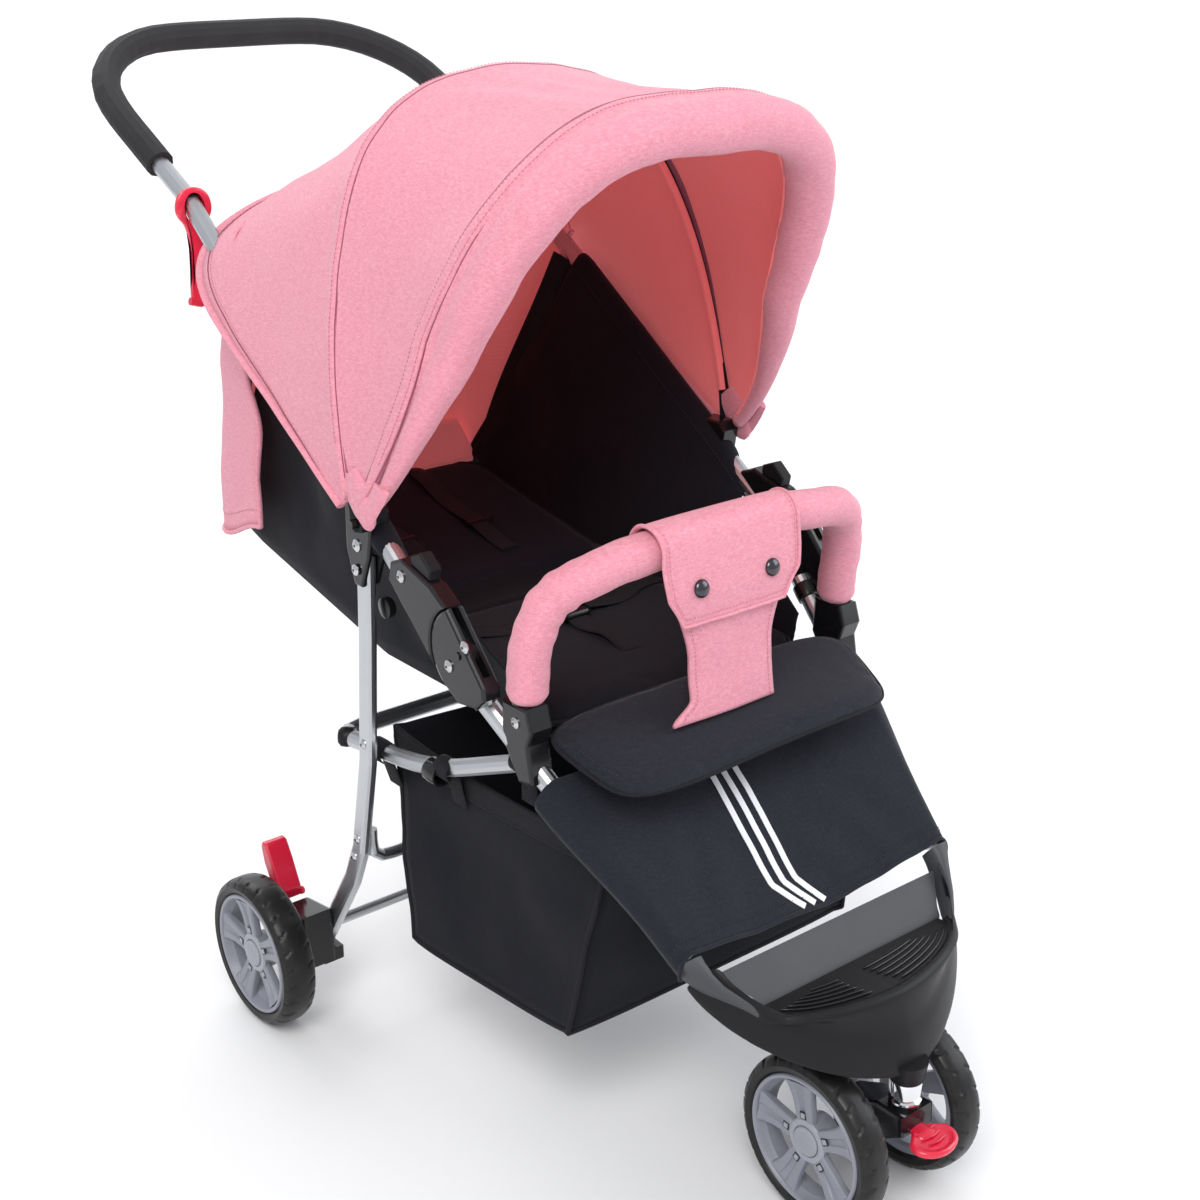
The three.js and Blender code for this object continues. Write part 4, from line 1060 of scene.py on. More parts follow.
# ---------------------------------------------------------------- calf flap, apron, bumper
def make_calf_flap():
    slope = 0.298
    rear, front, half = -348.0, -463.0, 188.0
    outline = []
    for k in range(96):
        a = 2 * math.pi * k / 96
        c, q = math.cos(a), math.sin(a)
        x = half * math.copysign(abs(c) ** (2 / 5.0), c)
        y = math.copysign(abs(q) ** (2 / 5.0), q)
        y = lerp((rear + front) / 2, rear if y > 0 else front, abs(y))
        x *= 1 - 0.09 * smoothstep((rear - y) / (rear - front)) ** 1.5
        outline.append((x, y))

    def top(x, y):
        droop = 13 * max(0.0, abs(x) / half - 0.6) ** 1.5 * smoothstep((-350 - y) / 90)
        wave = 3.0 * math.sin(x / 58 + 0.6) * smoothstep((-380 - y) / 80)
        return 430.5 + (y + 410) * slope - droop + wave

    flap = pillow("calf_cushion", outline, top, lambda x, y: top(x, y) - 15, "apron", crown=1.5)
    swell(flap, 0.003, voxel=0.0034)
    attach(flap, "calf_rest")
    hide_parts("calf_flap")
    edge = [(x * 1.004, y, top(x, y) - 7.5) for x, y in outline]
    tube("calf_piping", edge + [edge[0]], 1.9, "web", "calf_rest", "black_fabric", 8)
    inset = [(x * 0.955, -409.5 + (y + 409.5) * 0.88) for x, y in outline]
    inset = [(x, y, top(x, y) + 0.6) for x, y in inset]
    stitches("calf_thread", inset + [inset[0]], (0, -0.28, 0.96), "dark_thread", "calf_rest",
             "black_fabric")


def apron_point(x, y, lift=0.0):
    """The apron lies over the rails and sags between them."""
    rail = rail_lower(y)
    half = rail[0]
    steep = math.hypot(1, LOWER_SLOPE)
    across = abs(x) / half
    if across <= 1:
        sag = 12 * math.cos(across * math.pi / 2) ** 1.5
        return np.array((x, y, rail[2] + OVER_RAIL * steep - sag + lift))
    angle = min(2.0, (abs(x) - half) / OVER_RAIL)
    r = OVER_RAIL + 0.5 + lift
    return np.array((math.copysign(half + r * math.sin(angle), x), y,
                     rail[2] + r * steep * math.cos(angle)))


def apron_crease(p):
    """Soft folds that run up from the lower corners, and small unevenness."""
    corner = math.exp(-((abs(p[0]) - 105) / 55) ** 2) * smoothstep((-400 - p[1]) / 90)
    fold = math.sin(abs(p[0]) / 9.5 + p[1] / 15) * 1.5 * corner
    return bump3(p, 62, 3.3) * 4.2 + bump3(p, 27, 9.1) * 1.3 + fold


def make_apron():
    rows, cols = 46, 90
    grid = []
    for i in range(rows + 1):
        y = lerp(-384, -533, i / rows)
        flare = 1 - smoothstep(i / rows * 1.3)
        half = rail_lower(y)[0] + OVER_RAIL * 1.95
        row = []
        for j in range(cols + 1):
            x = half * (-1 + 2 * j / cols)
            p = apron_point(x, y)
            calm = max(0.0, 1 - abs(x) / (half - 22)) ** 0.5
            p[2] += apron_crease(p) * calm
            p[0] += math.copysign(13 * flare * smoothstep((abs(x) - half + 26) / 26), x)
            row.append(p)
        grid.append(row)
    grid = np.array(grid)
    cloth = shell("apron_cloth", grid, 2.2, ("apron",), "front_frame", "grey_fabric", ("apron",),
                  centre=(0, -420, 200))
    declare_cloth(grid)
    for k in range(3):
        keys = [(0, -30 + 15 * k, -392), (0.78, -40 + 15 * k, -508), (1, -19 + 13 * k, -531)]
        line, ups = [], []
        for t in np.linspace(0, 1, 44):
            x, y = along(keys, t)
            p = apron_point(x, y, 0.9)
            p[2] += apron_crease(apron_point(x, y)) * max(0.0, 1 - abs(x) / 170) ** 0.5
            line.append(p)
            ups.append((0, -0.63, 0.78))
        ribbon(f"apron_stripe_{k + 1}", line, np.array(ups), 6.6, 0.9, "stripe", "front_frame",
               "grey_fabric")
    tube("apron_hem", grid[-1] + np.array((0, 0, -1.0)), 2.6, "apron", "front_frame", "grey_fabric", 8,
         flat=0.7)
    stitches("apron_thread", grid[-4] + np.array((0, -0.4, 0.5)), (0, -0.63, 0.78), "dark_thread",
             "front_frame", "grey_fabric")


BAR_KEYS = ((198, -347, 474), (197, -350, 500), (196, -354, 530), (188, -361, 560), (170, -373, 581),
            (145, -381, 591), (110, -385, 597), (60, -388, 602), (0, -389, 604))


def bar_line(steps=150):
    right = [(-x, y, z) for x, y, z in BAR_KEYS]
    return spline(right + [tuple(p) for p in reversed(BAR_KEYS[:-1])], steps)


def make_bumper():
    line = bar_line()
    verts = []
    sides = 28
    for i, (p, (_, side, normal)) in enumerate(zip(line, frames(line, (0, -1, 0.2)))):
        bend = math.exp(-((abs(p[0]) - 178) / 16) ** 2)
        end = min(i, len(line) - 1 - i)
        for k in range(sides):
            a = 2 * math.pi * k / sides
            r = 19.4 if end > 1 else 15.5 + end * 2.2
            ripple = 1.0 * bend * math.sin(i * 1.15) + 0.5 * math.sin(i * 0.37 + a)
            q = p + (math.cos(a) * side + math.sin(a) * normal) * r
            r += ripple + bump3(q, 22, 4.4) * 0.8
            verts.append(p + (math.cos(a) * side + math.sin(a) * normal) * r)
    cover = build("bumper_cover", to_row(verts), quads(len(line), sides) + ends(len(line), sides), "pink",
                  "bumper", "pink_fabric", ("bumper_bar",))
    fix_normals(cover)
    for name, side in SIDES:
        disc(f"bumper_plug_{name}", (side * 198, -347, 440), (0, 0, 1),
             [(9, 0), (9, 30), (13.5, 31), (14, 35), (12, 37)], "gloss", "bumper", "black_plastic")
    seam = [p - normal * 20.2 for p, (_, _, normal) in zip(line, frames(line, (0, -1, 0.2)))]
    tube("bumper_seam", seam[2:-2], 1.3, "pink", "bumper", "pink_fabric", 6)
    make_strap()


def drawn_in(point, scale):
    """A point on the strap moved towards its middle line and just off the cloth."""
    x, y, z = point
    return np.array(((x + 11) * scale - 11, y - 1.0, z + 0.2))


def make_strap():
    # The flap goes round the bar and is held shut by snaps; the tail runs down to the calf flap.
    shift = np.array((-11.0, 0, 0))
    tail_keys = [(0.0, 84, -409, 596), (0.12, 83, -412, 580), (0.26, 80, -415, 560), (0.36, 70, -415, 546),
                 (0.5, 57, -415, 522), (0.75, 51, -417, 474), (1.0, 52, -423, 438)]
    front = []
    for k in np.linspace(0, 0.44, 22):
        half, y, z = along(tail_keys, k)
        front.append([(half * u, y - 3.2 - 1.5 * (1 - u * u) + bump3((half * u, y, z), 30, 2.2) * 1.2, z)
                      for u in np.linspace(-1, 1, 33)])
    over = []
    bar = np.array((-389.0, 603.0))
    for a in np.linspace(-95, 78, 20):
        t = math.radians(a)
        r = 23.2
        half = 84 - 1.5 * abs(a) / 95
        over.append([(half * u, bar[0] - r * math.sin(t), bar[1] + r * math.cos(t) - abs(u) ** 3 * 1.2)
                     for u in np.linspace(-1, 1, 33)])
    flap_rows = over + front[2:]
    smooth_rows = np.array(flap_rows) + shift
    flap_rows = [list(row) for row in smooth_rows]
    flap = shell("strap_flap", smooth_rows, 2.4, ("pink",), "bumper", "pink_fabric", ("bumper_strap",),
                 centre=(0, -389, 590))
    declare_cloth(smooth_rows)
    tail = []
    for k in np.linspace(0.2, 1.0, 40):
        half, y, z = along(tail_keys, k)
        half = min(half, lerp(72, 51, smoothstep((k - 0.2) / 0.45)))
        flare = 24 * smoothstep((k - 0.86) / 0.14)
        tail.append([(half * u - flare * max(0.0, -u),
                      y + 1.2 - 2.0 * (1 - u * u) + bump3((half * u, y, z), 34, 5.2) * 1.6, z)
                     for u in np.linspace(-1, 1, 25)])
    tail = np.array(tail) + shift
    lower = shell("strap_tail", tail, 4.0, ("pink",), "bumper", "pink_fabric", centre=(0, -300, 500))
    declare_cloth(tail)
    edge_front = np.array([row[0] for row in flap_rows] + flap_rows[-1]
                          + [row[-1] for row in reversed(flap_rows)])
    tube("strap_piping", resample(edge_front, 150), 1.9, "pink", "bumper", "pink_fabric", 8)
    inset = []
    for row in flap_rows[4:]:
        inset.append(drawn_in(row[0], 0.93))
    bottom = [drawn_in(p, 0.93) for p in flap_rows[-3]]
    inset = inset[:-3] + bottom + [drawn_in(r[-1], 0.93) for r in reversed(flap_rows[4:-3])]
    stitches("strap_thread", inset, (0, -1, 0.1), "thread", "bumper", "pink_fabric")
    for name, side in SIDES:
        disc(f"strap_snap_{name}", (side * 44 - 11, -419.4, 566), (0, -0.98, 0.2),
             [(8.6, 0), (8.6, 1.0), (7.6, 2.6), (5.2, 4.0), (1.5, 4.6)], "snap", "bumper",
             "black_plastic", 28)
        rows_ = np.array([drawn_in(r[0 if side < 0 else -1], 0.88) for r in tail[8:]])
        stitches(f"tail_thread_{name}", rows_, (0, -1, 0.1), "thread", "bumper", "pink_fabric")


# ---------------------------------------------------------------- basket
def make_basket():
    """A cloth tray slung between the seat tubes and the front rails, drawn in between the corners."""
    def level(t):
        front = (lerp(187, 166, t), lerp(-395, -429, t), lerp(138, 344, t))
        rear = (lerp(197, 184, t), lerp(-141, -101, t), lerp(125, 352, t))
        return front, rear

    def ring(t, count=24):
        front, rear = level(t)
        points = []
        corners = [front, rear, (-rear[0], rear[1], rear[2]), (-front[0], front[1], front[2])]
        slack = math.sin(math.pi * min(1, t * 1.02)) if t < 1 else 0
        for c, (a, b) in enumerate(zip(corners, corners[1:] + corners[:1])):
            a, b = np.array(a), np.array(b)
            outward = np.array(((1, 0, 0), (0, 1, 0), (-1, 0, 0), (0, -1, 0))[c], float)
            for k in range(count):
                s = k / count
                p = a * (1 - s) + b * s
                belly = math.sin(math.pi * s)
                p = p - outward * (4.0 * (1 - belly) ** 3 + 7.0 * belly * slack)
                p[2] -= 9 * belly * (t ** 2)
                fold = math.sin((s * 0.7 + t) * 7 + 2 * bump3(p, 110, c)) * 1.8
                p += outward * (bump3(p, 70, 3 + c) * 5.0 + bump3(p, 30, 6 + c) * 1.4 + fold) * slack
                points.append(p)
        return points

    rings = [ring(t) for t in np.linspace(0.0, 1.0, 22)]
    floor = []
    base = np.array(rings[0])
    mid = base.mean(axis=0)
    for s in np.linspace(0.05, 0.97, 12):
        layer = mid + (base - mid) * s
        layer[:, 2] = mid[2] + (base[:, 2] - mid[2]) * s - 7 * (1 - s ** 2) + 2
        floor.append(layer)
    grid = np.array(floor + rings)
    shell_ = shell("basket_cloth", grid, 2.2, ("black",), "seat_frame", "black_fabric", ("basket",),
                   ring=True, centre=(0, -270, 300))
    declare_cloth(np.concatenate([grid, grid[:, :1]], axis=1))
    rim = rings[-1] + [rings[-1][0]]
    ups = []
    for a, b in zip(rim, rim[1:] + rim[1:2]):
        d = np.array(b) - np.array(a)
        ups.append(np.cross(d, (0, 0, 1.0)))
    ribbon("basket_rim", [np.array(p) + (0, 0, -12) for p in rim], np.array(ups), 27, 3.4, "web",
           "seat_frame", "black_fabric")
    for k, drop in enumerate((-2, -22)):
        line = [np.array(p) + (0, 0, drop) for p in rim]
        normals = np.array(ups) / np.linalg.norm(np.array(ups), axis=1)[:, None]
        stitches(f"basket_thread_{k + 1}", np.array(line) + normals * 2.4, normals, "dark_thread",
                 "seat_frame", "black_fabric")
    for c in range(4):
        corner = [np.array(r[c * 24]) for r in rings]
        tube(f"basket_seam_{c + 1}", corner, 2.6, "web", "seat_frame", "black_fabric", 8)
    bottom = list(rings[0]) + [rings[0][0]]
    tube("basket_floor_seam", bottom, 2.6, "web", "seat_frame", "black_fabric", 8)
    # Loops that hang the basket from the seat tubes.
    tubes = {"left": 1, "right": -1}
    for name, side in tubes.items():
        for k, y in enumerate((-320, -215, -110)):
            s = (y + 355) / (355 - 193) if y < -193 else 1
            tx = lerp(175, 197, min(1, s)) if y < -193 else lerp(197, 206, (y + 193) / 131)
            tz = lerp(408, 342, min(1, s)) if y < -193 else lerp(342, 329, (y + 193) / 131)
            wall = lerp(166, 184, (y + 425) / 324)
            loop = [(side * (wall + 3), y, tz - 44)]
            for a in np.linspace(-150, 150, 22):
                t = math.radians(a)
                loop.append((side * (tx + 10.5 * math.sin(t)), y, tz + 10.5 * math.cos(t)))
            line = resample(np.array(loop), 40)
            outward = np.array([np.array(p) - np.array((side * tx, y, tz)) for p in line])
            ribbon(f"basket_loop_{name}_{k + 1}", line, outward, 24, 1.6, "web", "seat_frame",
                   "black_fabric")


# ---------------------------------------------------------------- wheels
WHEEL_RADIUS = 82.5
SPOKES = 5


def turn_about_x(profile, segments, shape=None):
    """Rings of (radius, offset) points turned about X; shape may move each point in or out."""
    verts = []
    for r, x in profile:
        for k in range(segments):
            a = 2 * math.pi * k / segments
            radius = r + (shape(a, r, x) if shape else 0.0)
            verts.append((x, radius * math.sin(a), radius * math.cos(a)))
    return verts, quads(len(profile), segments)


def tread(half):
    """Slanted sipes across the shoulders."""
    def cut(a, r, x):
        if r < 76:
            return 0.0
        side = 1 if x > 0 else -1
        phase = (a * 26 / (2 * math.pi) + side * 0.55 * abs(x) / half + (0.5 if side > 0 else 0.0)) % 1.0
        shoulder = smoothstep((abs(x) / half - 0.3) / 0.15)
        return -1.3 * shoulder * (1.0 if phase < 0.17 else 0.0)
    return cut


def make_wheel(end, name, side, place, width):
    """Tyre, rim with five twin spokes, square lugs whose recesses are drawn as black squares of painted
    shade, and a round cap on the outward side.
    """
    body = f"{end}_wheel_{name}"
    half = width / 2

    def place_on_hub(verts):
        return np.array(verts, float) * (side, 1, 1) + np.array(place, float)

    def part(label, verts, faces, mats, angle, slot="wheel_plastic", replaces=(), index=None):
        return solid(f"{body}_{label}", place_on_hub(verts), faces, mats, body, slot, replaces, angle,
                     index)

    profile = [(66.4, -half + 4), (69, -half + 1.2), (74, -half), (78.5, -half + 2.5)]
    for k in range(17):
        u = -1 + k / 8
        profile.append((WHEEL_RADIUS - 3.2 * abs(u) ** 3, u * (half - 3.2)))
    profile += [(78.5, half - 2.5), (74, half), (69, half - 1.2), (66.4, half - 4), (66.4, -half + 4)]
    verts, faces = turn_about_x(profile, 312, tread(half))
    part("tyre", verts, faces, "tyre", 28, "tyre", (f"{end}_tyre_{name}",))

    ring = [(66.2, -half + 5), (66.2, half - 2.6), (65.2, half - 1.2), (62.6, half - 1.4),
            (61.2, half - 3.2), (60.2, half - 7.5), (57.6, half - 11), (57.2, -half + 9),
            (60, -half + 6), (66.2, -half + 5)]
    verts, faces = turn_about_x(ring, 96)
    part("ring", verts, faces, "rim", 32, replaces=(f"{end}_rim_{name}",))

    face = half - 6.0
    hub = [(0.4, -half), (17, -half), (19.5, -half + 2), (20.5, face - 6), (22, face - 1.5),
           (20.5, face), (15.6, face), (15.2, face - 1.4), (14.6, face - 1.4), (14.4, face + 0.8),
           (13.4, face + 1.6), (6, face + 2.1), (0.4, face + 2.2)]
    verts, faces = turn_about_x(hub, 48)
    part("hub", verts, faces + ends(len(hub), 48), "cap", 32)

    # A spoke's section runs across both of its bars and the groove between them.
    groove_depth = -2.4
    across = [(-1, -5.5), (-0.96, -1.2), (-0.84, 0), (-0.3, 0), (-0.2, groove_depth),
              (0.2, groove_depth), (0.3, 0), (0.84, 0), (0.96, -1.2), (1, -5.5), (0.9, -9.0), (-0.9, -9.0)]
    stations = [(17, 9.5, -0.6, 0.0), (23, 10.5, -0.2, 0.1), (30, 11, 0.0, 1.0), (42, 12.5, 0.6, 1.0),
                (52, 15, 1.8, 0.9), (59.5, 18.5, 3.4, 0.2)]

    def around(x, r, w, spoke):
        """A point at distance r along a spoke's middle line and w across it."""
        a = 2 * math.pi * spoke / SPOKES + 0.2
        return x, r * math.sin(a) + w * math.cos(a), r * math.cos(a) - w * math.sin(a)

    verts, faces = [], []
    for spoke in range(SPOKES):
        base = len(verts)
        for r, wide, rise, groove in stations:
            for u, depth in across:
                drop = depth * (groove if depth == groove_depth else 1.0)
                verts.append(around(face + rise + drop, r, u * wide, spoke))
        faces += quads(len(stations), len(across), base) + ends(len(stations), len(across), base)
    bevel(part("spokes", verts, faces, "rim", 30), 0.0007, 2, 30)

    # A raised lug at the root of every spoke, on a black square of painted shade that stands for its square
    # recess.
    verts, faces, index = [], [], []
    for spoke in range(SPOKES):
        # Index 0 gives the black square of painted shade, index 1 the lug.
        for size, low, high, mat_index in ((3.9, -1.0, 0.25, 0), (2.5, -0.6, 0.9, 1)):
            base = len(verts)
            for x in (face + low, face + high):
                for u, v in ((-1, -1), (1, -1), (1, 1), (-1, 1)):
                    verts.append(around(x, 26.0 + v * size, u * size, spoke))
            faces += quads(2, 4, base) + ends(2, 4, base)
            index += [mat_index] * 6
    bevel(part("lugs_in_painted_recess", verts, faces, ("gloss", "cap"), 30, index=index), 0.0005, 2, 30)


def make_wheels():
    for name, side in SIDES:
        make_wheel("rear", name, side, (side * 294, 0, WHEEL_RADIUS), 38)
        make_wheel("front", name, side, (side * 62, -597, WHEEL_RADIUS), 34)


# ---------------------------------------------------------------- footrest
def bow_around(half, rear, depth, power, u):
    turn = (1 - u) * math.pi / 2
    reach = abs(math.sin(turn)) ** (2 / power)
    across = math.copysign(abs(math.cos(turn)) ** (2 / power), math.cos(turn))
    return half * across, rear - depth * reach


def lip_height(y):
    return 244 + 0.72 * (y + 541)


def make_footrest():
    """A moulded shell: a sloping panel, a ribbed half-moon step, a rolled rim and a deep front lip."""
    def rim(grow, z):
        def point(u):
            x, y = bow_around(122 + grow, -581, 49 + grow, 1.75, u)
            return x, y, z - 2.0 * (-y - 581) / 50
        return point

    def front(half, rear, depth, lift):
        def point(u):
            x, y = bow_around(half, rear, depth, 1.6, u)
            return x, y, lip_height(y) + lift
        return point

    stations = [rim(-4, 235), rim(-1.5, 236.8), rim(1.5, 237.4), rim(4.5, 236), rim(8, 231.5),
                front(143, -552, 92, 34), front(153, -542, 108, 21), front(160, -535, 119, 9),
                front(163.5, -531, 125, 1), front(163, -531, 125, -3), front(159, -532, 120, -4.5),
                front(154, -535, 114, 2), front(146, -542, 103, 12)]
    cols = 72
    columns = []
    for j in range(cols + 1):
        u = -1 + 2 * j / cols
        columns.append(spline([st(u) for st in stations], 44))
    rest = ("front_frame", "black_plastic")
    grid = np.array(columns).transpose(1, 0, 2)
    solid("footrest_lip", grid.reshape(-1, 3), quads(len(grid), cols + 1, closed=False), "satin", *rest,
          ("footrest",), 60)

    # The step is flat, and the panel behind it leans back towards the apron.
    outline = [rim(-4, 235)(-1 + 2 * j / 60) for j in range(61)]
    step = []
    for k in range(9):
        s = 1 - k / 8
        for x, y, z in outline:
            step.append((x * (1 - 0.02 * k / 8), lerp(-577, y, s), lerp(236.2, z, s)))
    solid("footrest_step", step, quads(9, 61, closed=False), "satin", *rest, angle=180)
    slope = [(-577.5, 235.4, 118), (-576.5, 238.5, 118.5), (-570, 243.6, 122), (-552, 257.5, 138),
             (-547, 262.2, 142), (-545, 263.2, 143), (-543.5, 261.5, 143), (-545, 258, 142)]
    verts = [(half * (-1 + j / 15), y, z) for y, z, half in slope for j in range(31)]
    solid("footrest_panel", verts, quads(len(slope), 31, closed=False), "grey_panel", *rest)

    for k in range(6):
        inset = 9 + 6.2 * k
        for group, (low, high) in enumerate(((-0.84 + 0.03 * k, -0.16 - 0.035 * k),
                                             (0.10 - 0.03 * k, 0.84 - 0.03 * k))):
            line = []
            for u in np.linspace(low, high, 26):
                x, y = bow_around(122 - inset * 1.15, -582, 49 - inset * 0.98, 1.75, u)
                line.append((x, y, 236.4 - 2.0 * (-y - 581) / 50))
            radii = [0.35] + [1.0] * 24 + [0.35]
            tube(f"footrest_rib_{group + 1}_{k + 1}", resample(line, 25), radii, "gloss", *rest, 8)

    # Side arms from the rails down to the ends of the step.
    for name, side in SIDES:
        stretch = [(162, -529, 273.5, 12.6, 12.6), (160, -534, 268.5, 10.5, 13),
                   (155, -543, 259.5, 7.4, 12.5), (149, -553, 251, 5.8, 12),
                   (141, -564, 244, 5.0, 11.5), (132, -575, 237, 4.5, 9.5), (124, -585, 230, 4.0, 6)]
        verts = []
        count = 20
        for x, y, z, wide, tall in stretch:
            for k in range(count):
                a = 2 * math.pi * k / count
                c, q = math.cos(a), math.sin(a)
                w = wide * math.copysign(abs(c) ** 0.7, c)
                up = tall * math.copysign(abs(q) ** 0.7, q)
                verts.append((side * x + w, y - 0.62 * up, z + 0.78 * up))
        faces = quads(len(stretch), count) + ends(len(stretch), count)
        solid(f"footrest_arm_{name}", verts, faces, "grey_panel", *rest, angle=50)
    disc("caster_socket", (0, -648, 148), (0, 0, 1), [(15.4, 0), (16.5, 1.5), (17, 6), (19, 20)], "satin",
         "front_frame", "black_plastic", 36)


# ---------------------------------------------------------------- small fittings
def plate(name, outline, x0, x1, mat, body, slot, replaces=(), edge=0.001):
    """A flat piece from x0 to x1 with an outline of (y, z) points, in millimetres."""
    verts = [(x, y, z) for x in (x0, x1) for y, z in outline]
    faces = quads(2, len(outline)) + ends(2, len(outline))
    return bevel(solid(name, verts, faces, mat, body, slot, replaces, 35), edge, 3, 30)


def rivet(name, centre, side, body, radius=4.6):
    head = [(radius + 1.6, -0.4), (radius + 1.6, 0.7), (radius + 0.4, 1.3), (radius, 1.5),
            (radius * 0.82, 2.3), (radius * 0.4, 2.7), (0.4, 2.8)]
    disc(name, centre, (side, 0, 0), head, "rivet", body, "chrome", 28)
    disc(f"{name}_eye", centre, (side, 0, 0), [(1.6, 2.7), (1.5, 2.95), (0.3, 2.9)], "gloss", body,
         "black_plastic", 14)


def make_fittings():
    for name, side in SIDES:
        outer = side * 233.6
        for k, (y, z) in enumerate(((-305, 519), (-279, 492))):
            rivet(f"housing_rivet_{name}_{k + 1}", (outer, y, z), side, "front_frame", 4.2)
        rivet(f"housing_rivet_{name}_3", (outer, -205, 557), side, "push_frame", 4.2)
        rivet(f"bracket_rivet_{name}_1", (side * 235.6, -134, 568), side, "push_frame", 4.6)
        rivet(f"bracket_rivet_{name}_2", (side * 236.8, -132, 543), side, "push_frame", 4.0)
        for k, (y, z) in enumerate(((-119, 352), (-98.5, 236), (-90, 212))):
            rivet(f"leg_rivet_{name}_{k + 1}", (side * 230.2, y, z), side, "rear_legs", 3.4)
        rivet(f"mount_rivet_{name}", (side * 212.4, -350, 455), side, "front_frame", 3.8)
        # A knurled knob and a cap on the ends of the low tubes.
        knob = [(8.5, 0), (10.5, 1), (10.5, 7), (9.5, 9), (5, 10), (0.4, 10.2)]
        disc(f"bracket_knob_{name}", (side * 213.0, -140, 500), (-side, 0, 0), knob, "gloss", "push_frame",
             "black_plastic", 18)
        disc(f"seat_tube_cap_{name}", (side * 208.0, -50, 328), (side * 0.75, 0.66, 0),
             [(10.2, -8), (10.8, 0), (10.2, 5), (7, 8), (0.4, 9)], "satin", "seat_frame",
             "black_plastic", 24)
        loop = [(side * (197 + 11 * math.sin(a)), -200, 343 + 11 * math.cos(a))
                for a in np.linspace(0, 2 * math.pi, 25)]
        normals = np.array([(side * math.sin(a), 0, math.cos(a)) for a in np.linspace(0, 2 * math.pi, 25)])
        ribbon(f"tube_clip_{name}", loop, normals, 20, 3.0, "gloss", "seat_frame", "black_plastic")
        collar = rail_lower(-296, side)
        axis = np.array((side * 0.156, 0.767, 0.618))
        disc(f"rail_collar_{name}", collar, axis,
             [(10.4, -9), (12.2, -8), (12.6, 0), (12.2, 8), (10.4, 9)], "gloss", "front_frame",
             "black_plastic", 28)
        top = rail_upper(212, side)
        axis = np.array((side * -0.032, 0.8119, 0.5838))
        disc(f"handle_joint_{name}", top, axis, [(10.4, -3), (11.4, -2.4), (11.4, 2.4), (10.4, 3)],
             "gloss", "push_frame", "black_plastic", 28)


def make_pedals():
    """Ribbed brake pedals, each with a pin at its pivot."""
    for name, side in SIDES:
        outline = [(14, 122), (22, 120), (44, 158), (49, 176), (46, 183), (38, 182), (27, 164), (12, 134)]
        body = f"brake_{name}"
        plate(f"pedal_body_{name}", outline, side * 237.2, side * 263.8, "red", body, "red_plastic",
              (f"brake_pedal_{name}",), 0.0022)
        direction = np.array((0.0, 19, 48)) / math.hypot(19, 48)
        front = np.array((0.0, -0.93, 0.37))
        for k in range(5):
            middle = np.array((side * 250.5, 29.5, 158)) + direction * (4.6 * (k - 1.2))
            bar = [middle + np.array((dx, 0, 0)) + front * 1.0 for dx in (-8.5, -4, 0, 4, 8.5)]
            tube(f"pedal_rib_{name}_{k + 1}", bar, [0.5, 1.2, 1.3, 1.2, 0.5], "red", body, "red_plastic",
                 10)
        disc(f"pedal_pin_{name}", (side * 236.4, 16, 126), (-side, 0, 0),
             [(4.4, -1), (4.4, 2.6), (3.4, 3.6), (0.4, 3.8)],
             "red", body, "red_plastic", 20)


def make_swivel_lock():
    """The red foot lever of the front swivel, with its outline raised round a dished tread."""
    outline = []
    for k in range(40):
        a = 2 * math.pi * k / 40
        wide = 25.5 * math.sin(a)
        long_ = -36 - 18 * math.cos(a)
        outline.append((wide * (1.0 if math.cos(a) > -0.55 else 0.86), long_))
    tilt = 0.12
    layers = [(0.80, -0.3), (1.0, 1.6), (1.03, 4.4), (0.97, 6.6), (0.86, 7.2), (0.78, 6.2), (0.55, 5.8),
              (0.03, 5.8)]
    verts = []
    middle = np.array((0.0, -37.0))
    for scale, height in layers:
        for q in outline:
            x, y = middle + (np.array(q) - middle) * scale
            verts.append((x, -648 + y * math.cos(tilt) - height * math.sin(tilt),
                          101 + y * math.sin(tilt) + height * math.cos(tilt)))
    faces = quads(len(layers), len(outline)) + ends(len(layers), len(outline))
    solid("swivel_lever", verts, faces, "red", "swivel_lock", "red_plastic", ("swivel_lock",), 50)
    neck = [(0, -664, 102.5), (0, -672, 102.5), (0, -682, 102)]
    tube("swivel_neck", spline(neck, 8), [10, 10.5, 11, 12, 12.5, 13, 12, 11, 9], "red", "swivel_lock",
         "red_plastic", 16, flat=0.36, up=(0, 0, 1))
    for k in range(3):
        y = -676 - 7 * k
        arc = [(dx, y + 2.4 * abs(dx) / 13, 107.8 - 0.12 * (-y - 648) + 0.9)
               for dx in np.linspace(-13 + k, 13 - k, 9)]
        tube(f"swivel_rib_{k + 1}", arc, [0.5] + [1.1] * 7 + [0.5], "red", "swivel_lock", "red_plastic", 8)
    disc("stem_sleeve", (0, -648, 126), (0, 0, 1), [(15.3, 0), (15.3, 2), (12.5, 4), (12.2, 8.2)], "chrome",
         "caster", "chrome", 32)
    disc("stem_socket", (0, -648, 134.4), (0, 0, 1), [(12.2, 0), (15.3, 0.4), (15.3, 13.4), (15.2, 13.6)],
         "chrome", "front_frame", "chrome", 32)


